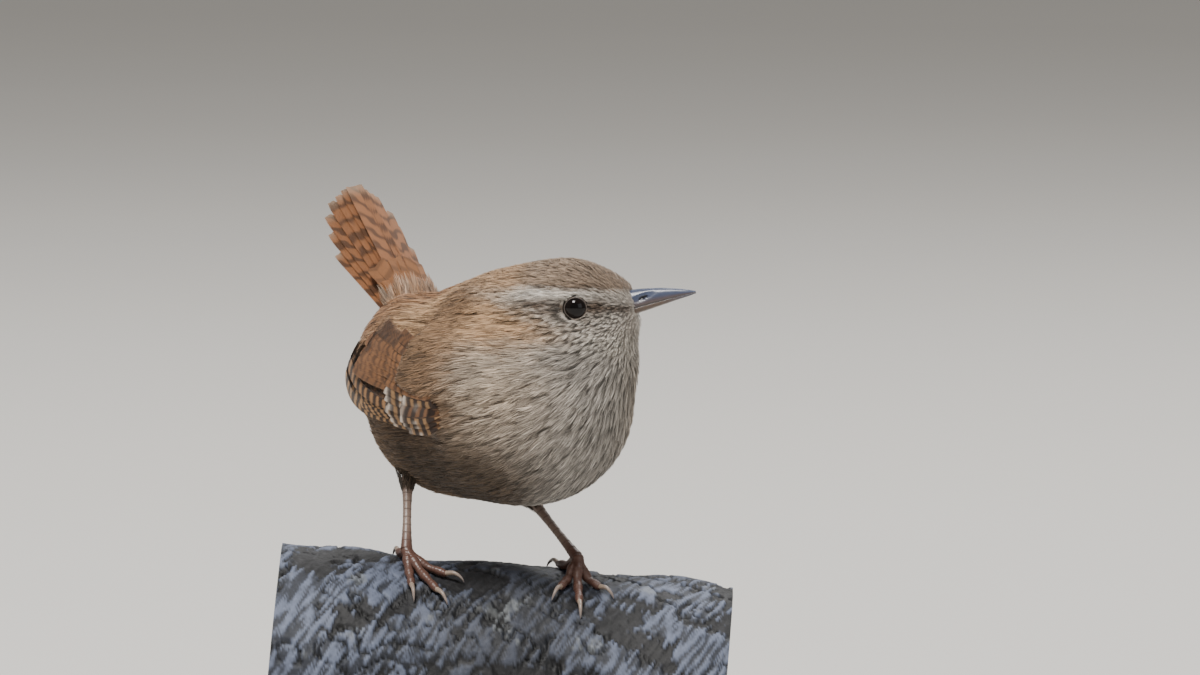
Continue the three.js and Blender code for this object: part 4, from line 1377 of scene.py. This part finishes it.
def build_perch(tones):
    steps, sides = BARK["steps"], BARK["sides"]
    along = np.linspace(-PERCH["length"] / 2, PERCH["length"] / 2, steps)
    angle = np.linspace(0, 2 * np.pi, sides, endpoint=False)
    s, a = (x.ravel() for x in np.meshgrid(along, angle, indexing="ij"))
    smooth = perch_point(s, np.degrees(a), np.zeros(len(s)))
    relief, layer, streaks, cracks, lichen = bark_relief(smooth, s, a)
    points = perch_point(s, np.degrees(a), relief)
    # Painted sheen: the pale blue-grey layer is partly the outer bark and partly a painted reflection of
    # the sky. It follows the striations and is mostly taken away over the middle of the perch, painting
    # that part darker.
    shine = layer * (0.35 + 0.65 * ramp(-0.2, 0.35, streaks)) * (1 - 0.75 * bell(1, 18, s))
    tint = mixed(tones["bark"], tones["bark_pale_sheen"], shine)
    tint = mixed(tint, tones["lichen"], 0.4 * ramp(0.4, 0.6, lichen) * layer)
    tint = tint * (1 - 0.6 * ramp(0.15, -0.3, streaks))[:, None]
    tint = tint * (1 - 0.85 * ramp(0.05, 0.7, cracks))[:, None]
    faces = loft(points.reshape(steps, sides, 3), cap=False)[1]
    groups = [(points, faces, tint, np.zeros((len(points), 2)))]
    groups.append(sawn_end(-1, points[:sides], tones))
    groups.append(sawn_end(1, points[-sides:], tones))
    points, faces, tint, _ = joined(groups)
    bark = node_material("bark", 0.62, 0.45, 700, 0.35, (("Specular IOR Level", 0.4),))
    finish_piece(new_piece("perch_bark", points, faces, tint), bark, "bark", "perch")


# Stand


def rounded_outline(length, width, corner):
    """A rectangle with round corners, as points in the plane."""
    points = []
    steps = BOARD["corner_steps"]
    for cx, cy, start in ((1, -1, -90), (1, 1, 0), (-1, 1, 90), (-1, -1, 180)):
        for k in range(steps + 1):
            turn = math.radians(start + 90 * k / steps)
            points.append((cx * (length / 2 - corner) + corner * math.cos(turn),
                           cy * (width / 2 - corner) + corner * math.sin(turn)))
    return np.array(points)


def build_stand(tones):
    low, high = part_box("stand_base")
    length, width, height = ((high[k] - low[k]) / METRES for k in range(3))
    bevel = BOARD["bevel"]
    profile = ((bevel, 0), (bevel * 0.3, bevel * 0.3), (0, bevel), (0, height - bevel),
               (bevel * 0.12, height - bevel * 0.5), (bevel * 0.5, height - bevel * 0.12), (bevel, height))
    rings = []
    for inset, z in profile:
        flat = rounded_outline(length - 2 * inset, width - 2 * inset, BOARD["corner"] - inset)
        rings.append(np.column_stack([flat, np.full(len(flat), z)]))
    board = node_material("board", 0.42, 0.3, 160, 0.06, (("Specular IOR Level", 0.4),))
    piece = new_piece("stand_board", *loft(rings), tones["board"], smooth=False)
    finish_piece(piece, board, "base_wood", "stand_base")
    steel = node_material("brushed_rod", 0.3, 0.12, 900, 0.02, (("Metallic", 1.0),))
    turn = np.linspace(0, 2 * np.pi, ROD_SIDES, endpoint=False)
    circle = np.column_stack([np.cos(turn), np.sin(turn), np.zeros(ROD_SIDES)])
    for name in ("stand_rod_left", "stand_rod_right"):
        low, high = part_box(name)
        middle = (low + high) / 2
        radius = (high[0] - low[0]) / 2
        rings = [(circle * radius + (middle[0], middle[1], z)) / METRES for z in (low[2], high[2])]
        piece = new_piece(f"{name}_steel", *loft(rings), tones["steel"])
        finish_piece(piece, steel, "rod", name)


# Studio


def build_floor(tones):
    reach = FLOOR_REACH
    corners = [(-reach, -reach, 0), (reach, -reach, 0), (reach, reach, 0), (-reach, reach, 0)]
    floor = new_piece("studio_floor", corners, [(0, 1, 2, 3)], tones["floor"])
    floor.data.materials.append(node_material("floor", 0.9, 0.02, 3, 0))


def build_lamps():
    for name, place, size, power, tone in LAMPS:
        data = bpy.data.lights.new(name, "AREA")
        data.size = size
        data.energy = power
        data.color = tone
        lamp = bpy.data.objects.new(name, data)
        lamp.location = place
        facing = Vector(LAMP_TARGET) - Vector(place)
        lamp.rotation_euler = facing.to_track_quat("-Z", "Y").to_euler()
        bpy.context.scene.collection.objects.link(lamp)


def build_camera():
    elevation = math.radians(CAMERA["elevation"])
    back = Vector((0, -math.cos(elevation), math.sin(elevation)))
    per_mm = CAMERA["pixels_per_mm"]
    across = (CAMERA["image"][0] / 2 - CAMERA["origin_pixel"][0]) / per_mm
    upward = (CAMERA["origin_pixel"][1] - CAMERA["image"][1] / 2) / per_mm
    aim = Vector((across, 0, CAMERA["origin_height"] + upward / math.cos(elevation))) * METRES
    data = bpy.data.cameras.new("photo_camera")
    data.sensor_width = CAMERA["sensor"]
    data.lens = CAMERA["sensor"] * CAMERA["distance"] / (CAMERA["image"][0] / per_mm * METRES)
    data.clip_end = CAMERA["reach"]
    camera = bpy.data.objects.new("photo_camera", data)
    camera.location = aim + back * CAMERA["distance"]
    camera.rotation_euler = back.to_track_quat("Z", "Y").to_euler()
    bpy.context.scene.collection.objects.link(camera)
    bpy.context.scene.camera = camera


def build_stage(tones):
    build_floor(tones)
    build_lamps()
    world = bpy.data.worlds.new("studio_air")
    world.use_nodes = True
    air = world.node_tree.nodes["Background"]
    air.inputs["Color"].default_value = (*tones["floor"], 1)
    air.inputs["Strength"].default_value = AIR_STRENGTH
    bpy.context.scene.world = world
    build_camera()


# Add-on


def length_property(name, value, words):
    return FloatProperty(name=name, default=value, min=0, unit="LENGTH", precision=5, description=words)


class WrenSizes(bpy.types.PropertyGroup):
    """Sizes of the coat and its feathers."""

    body_coat: length_property("Body coat", 0.0012, "Depth of the coat over the skin of the body")
    head_coat: length_property("Head coat", 0.0007, "Depth of the coat over the skin of the head")
    body_feather: length_property("Body feather", 0.0062, "Length of a feather on the body")
    head_feather: length_property("Head feather", 0.0031, "Length of a feather on the head")
    body_spacing: length_property("Body spacing", 0.00079, "Least distance between body feathers")
    head_spacing: length_property("Head spacing", 0.00048, "Least distance between head feathers")
    barb_width: length_property("Barb width", 0.00006, "Half width of a barb of a body feather")
    barb_spacing: length_property("Barb spacing", 0.0002, "Distance between barbs of flight feathers")
    seed: IntProperty(name="Seed", default=11, min=0, description="Changes the scatter of the feathers")


COLOUR_DEFAULTS = (
    ("crown", (162, 141, 121), "Top of the head"),
    ("mantle", (186, 152, 117), "Upper back and shoulders"),
    ("rump", (150, 112, 80), "Lower back in front of the tail"),
    ("breast", (164, 158, 150), "Front of the breast"),
    ("side", (180, 163, 144), "Side of the breast"),
    # The flank's and the belly's colours are darkened as painted shade of the lower body, over their own
    # brown and buff.
    ("flank", (90, 72, 56), "Flank behind the breast"),
    ("belly", (78, 65, 52), "Underside"),
    ("vent", (138, 112, 86), "Under the tail"),
    ("wing", (136, 107, 80), "Small feathers over the wing"),
    ("cheek", (202, 193, 182), "Side of the face"),
    ("throat", (198, 190, 178), "Chin and throat"),
    ("brow", (230, 222, 211), "Stripe over the eye"),
    ("line", (88, 71, 57), "Line through the eye and streaks of the cheek"),
    ("rufous", (120, 82, 52), "Ground of the wing feathers"),
    ("bar", (44, 31, 23), "Dark bars"),
    ("check", (154, 118, 80), "Pale checks on the outer wing"),
    ("spot", (186, 176, 166), "Pale spots on the wing coverts"),
    ("tail", (142, 94, 60), "Ground of the tail feathers"),
    ("golden", (156, 112, 72), "Feathers over the root of the tail"),
    ("tip", (164, 142, 120), "Tips of the tail feathers"),
    # The bill's colour is dark horn with a painted blue-grey reflection of the sky; the claws' points take
    # half of it.
    ("bill", (64, 72, 94), "Upper half of the bill"),
    ("bill_lower", (84, 68, 56), "Lower half of the bill and its edges"),
    ("eye", (8, 6, 6), "Eyeball"),
    ("iris", (17, 11, 9), "Ring of the iris"),
    ("lid", (66, 57, 51), "Rim of the eyelids"),
    ("leg", (124, 106, 96), "Tarsus"),
    ("foot", (88, 62, 53), "Toes"),
    ("claw", (150, 132, 116), "Claws"),
    ("bark", (28, 28, 31), "Bark"),
    # The pale bark's colour is partly a painted blue-grey reflection of the sky.
    ("bark_pale_sheen", (100, 108, 128), "Shine of the smoother bark"),
    ("lichen", (136, 140, 140), "Lichen"),
    ("wood", (168, 138, 100), "Sawn wood"),
    ("wood_ring", (128, 92, 58), "Growth rings"),
    ("board", (58, 38, 26), "Stand's base"),
    ("steel", (190, 190, 192), "Stand's rods"),
    ("floor", (222, 219, 214), "Floor and air of the studio"),
)
COLOUR_NAMES = tuple(entry[0] for entry in COLOUR_DEFAULTS)


class WrenColours(bpy.types.PropertyGroup):
    """Colours of the plumage, bare parts, perch, stand and studio."""


for key, srgb, words in COLOUR_DEFAULTS:
    WrenColours.__annotations__[key] = FloatVectorProperty(
        name=key.replace("_", " ").capitalize(),
        description=words,
        subtype="COLOR",
        size=3,
        min=0,
        max=1,
        default=colour(*srgb),
    )


def tones_of(context):
    """The panel's colours by name."""
    return {name: np.array(getattr(context.scene.wren_colours, name)[:3]) for name in COLOUR_NAMES}


class WREN_OT_coat(bpy.types.Operator):
    """Builds the skin and the body feathers over it"""

    bl_idname = "wren.coat"
    bl_label = "Skin and body feathers"
    bl_options = {"REGISTER", "UNDO"}

    def execute(self, context):
        build_coat(context.scene.wren_sizes, tones_of(context))
        return {"FINISHED"}


class WREN_OT_wings(bpy.types.Operator):
    """Builds the flight feathers and coverts of both wings"""

    bl_idname = "wren.wings"
    bl_label = "Wings"
    bl_options = {"REGISTER", "UNDO"}

    def execute(self, context):
        build_wings(context.scene.wren_sizes, tones_of(context))
        return {"FINISHED"}


class WREN_OT_tail(bpy.types.Operator):
    """Builds the tail feathers and their coverts"""

    bl_idname = "wren.tail"
    bl_label = "Tail"
    bl_options = {"REGISTER", "UNDO"}

    def execute(self, context):
        build_tail(context.scene.wren_sizes, tones_of(context))
        return {"FINISHED"}


class WREN_OT_bill(bpy.types.Operator):
    """Builds both halves of the bill"""

    bl_idname = "wren.bill"
    bl_label = "Bill"
    bl_options = {"REGISTER", "UNDO"}

    def execute(self, context):
        build_bill(tones_of(context))
        return {"FINISHED"}


class WREN_OT_eyes(bpy.types.Operator):
    """Builds the eyes and their lids"""

    bl_idname = "wren.eyes"
    bl_label = "Eyes"
    bl_options = {"REGISTER", "UNDO"}

    def execute(self, context):
        build_eyes(tones_of(context))
        return {"FINISHED"}


class WREN_OT_legs(bpy.types.Operator):
    """Builds the legs, toes and claws"""

    bl_idname = "wren.legs"
    bl_label = "Legs and feet"
    bl_options = {"REGISTER", "UNDO"}

    def execute(self, context):
        build_legs(tones_of(context))
        return {"FINISHED"}


class WREN_OT_perch(bpy.types.Operator):
    """Builds the cut length of branch with its bark"""

    bl_idname = "wren.perch"
    bl_label = "Perch"
    bl_options = {"REGISTER", "UNDO"}

    def execute(self, context):
        build_perch(tones_of(context))
        return {"FINISHED"}


class WREN_OT_stand(bpy.types.Operator):
    """Builds the base and rods of the display stand"""

    bl_idname = "wren.stand"
    bl_label = "Stand"
    bl_options = {"REGISTER", "UNDO"}

    def execute(self, context):
        build_stand(tones_of(context))
        return {"FINISHED"}


class WREN_OT_stage(bpy.types.Operator):
    """Builds the floor, lights and camera"""

    bl_idname = "wren.stage"
    bl_label = "Studio and camera"
    bl_options = {"REGISTER", "UNDO"}

    def execute(self, context):
        build_stage(tones_of(context))
        return {"FINISHED"}


OPERATORS = (
    WREN_OT_coat,
    WREN_OT_wings,
    WREN_OT_tail,
    WREN_OT_bill,
    WREN_OT_eyes,
    WREN_OT_legs,
    WREN_OT_perch,
    WREN_OT_stand,
    WREN_OT_stage,
)


class WREN_PT_panel(bpy.types.Panel):
    """Lists the wren's pieces"""

    bl_idname = "WREN_PT_panel"
    bl_label = "Wren"
    bl_space_type = "VIEW_3D"
    bl_region_type = "UI"
    bl_category = "Wren"

    def draw(self, context):
        for operator in OPERATORS:
            self.layout.operator(operator.bl_idname)
        for key in WrenSizes.__annotations__:
            self.layout.prop(context.scene.wren_sizes, key)
        for key in COLOUR_NAMES:
            self.layout.prop(context.scene.wren_colours, key)


CLASSES = (WrenSizes, WrenColours, *OPERATORS, WREN_PT_panel)


def register():
    for entry in CLASSES:
        bpy.utils.register_class(entry)
    bpy.types.Scene.wren_sizes = PointerProperty(type=WrenSizes)
    bpy.types.Scene.wren_colours = PointerProperty(type=WrenColours)


def unregister():
    del bpy.types.Scene.wren_colours
    del bpy.types.Scene.wren_sizes
    for entry in reversed(CLASSES):
        bpy.utils.unregister_class(entry)


def main():
    register()
    bpy.ops.wren.coat()
    bpy.ops.wren.wings()
    bpy.ops.wren.tail()
    bpy.ops.wren.bill()
    bpy.ops.wren.eyes()
    bpy.ops.wren.legs()
    bpy.ops.wren.perch()
    bpy.ops.wren.stand()
    bpy.ops.wren.stage()


if __name__ == "__main__":
    main()
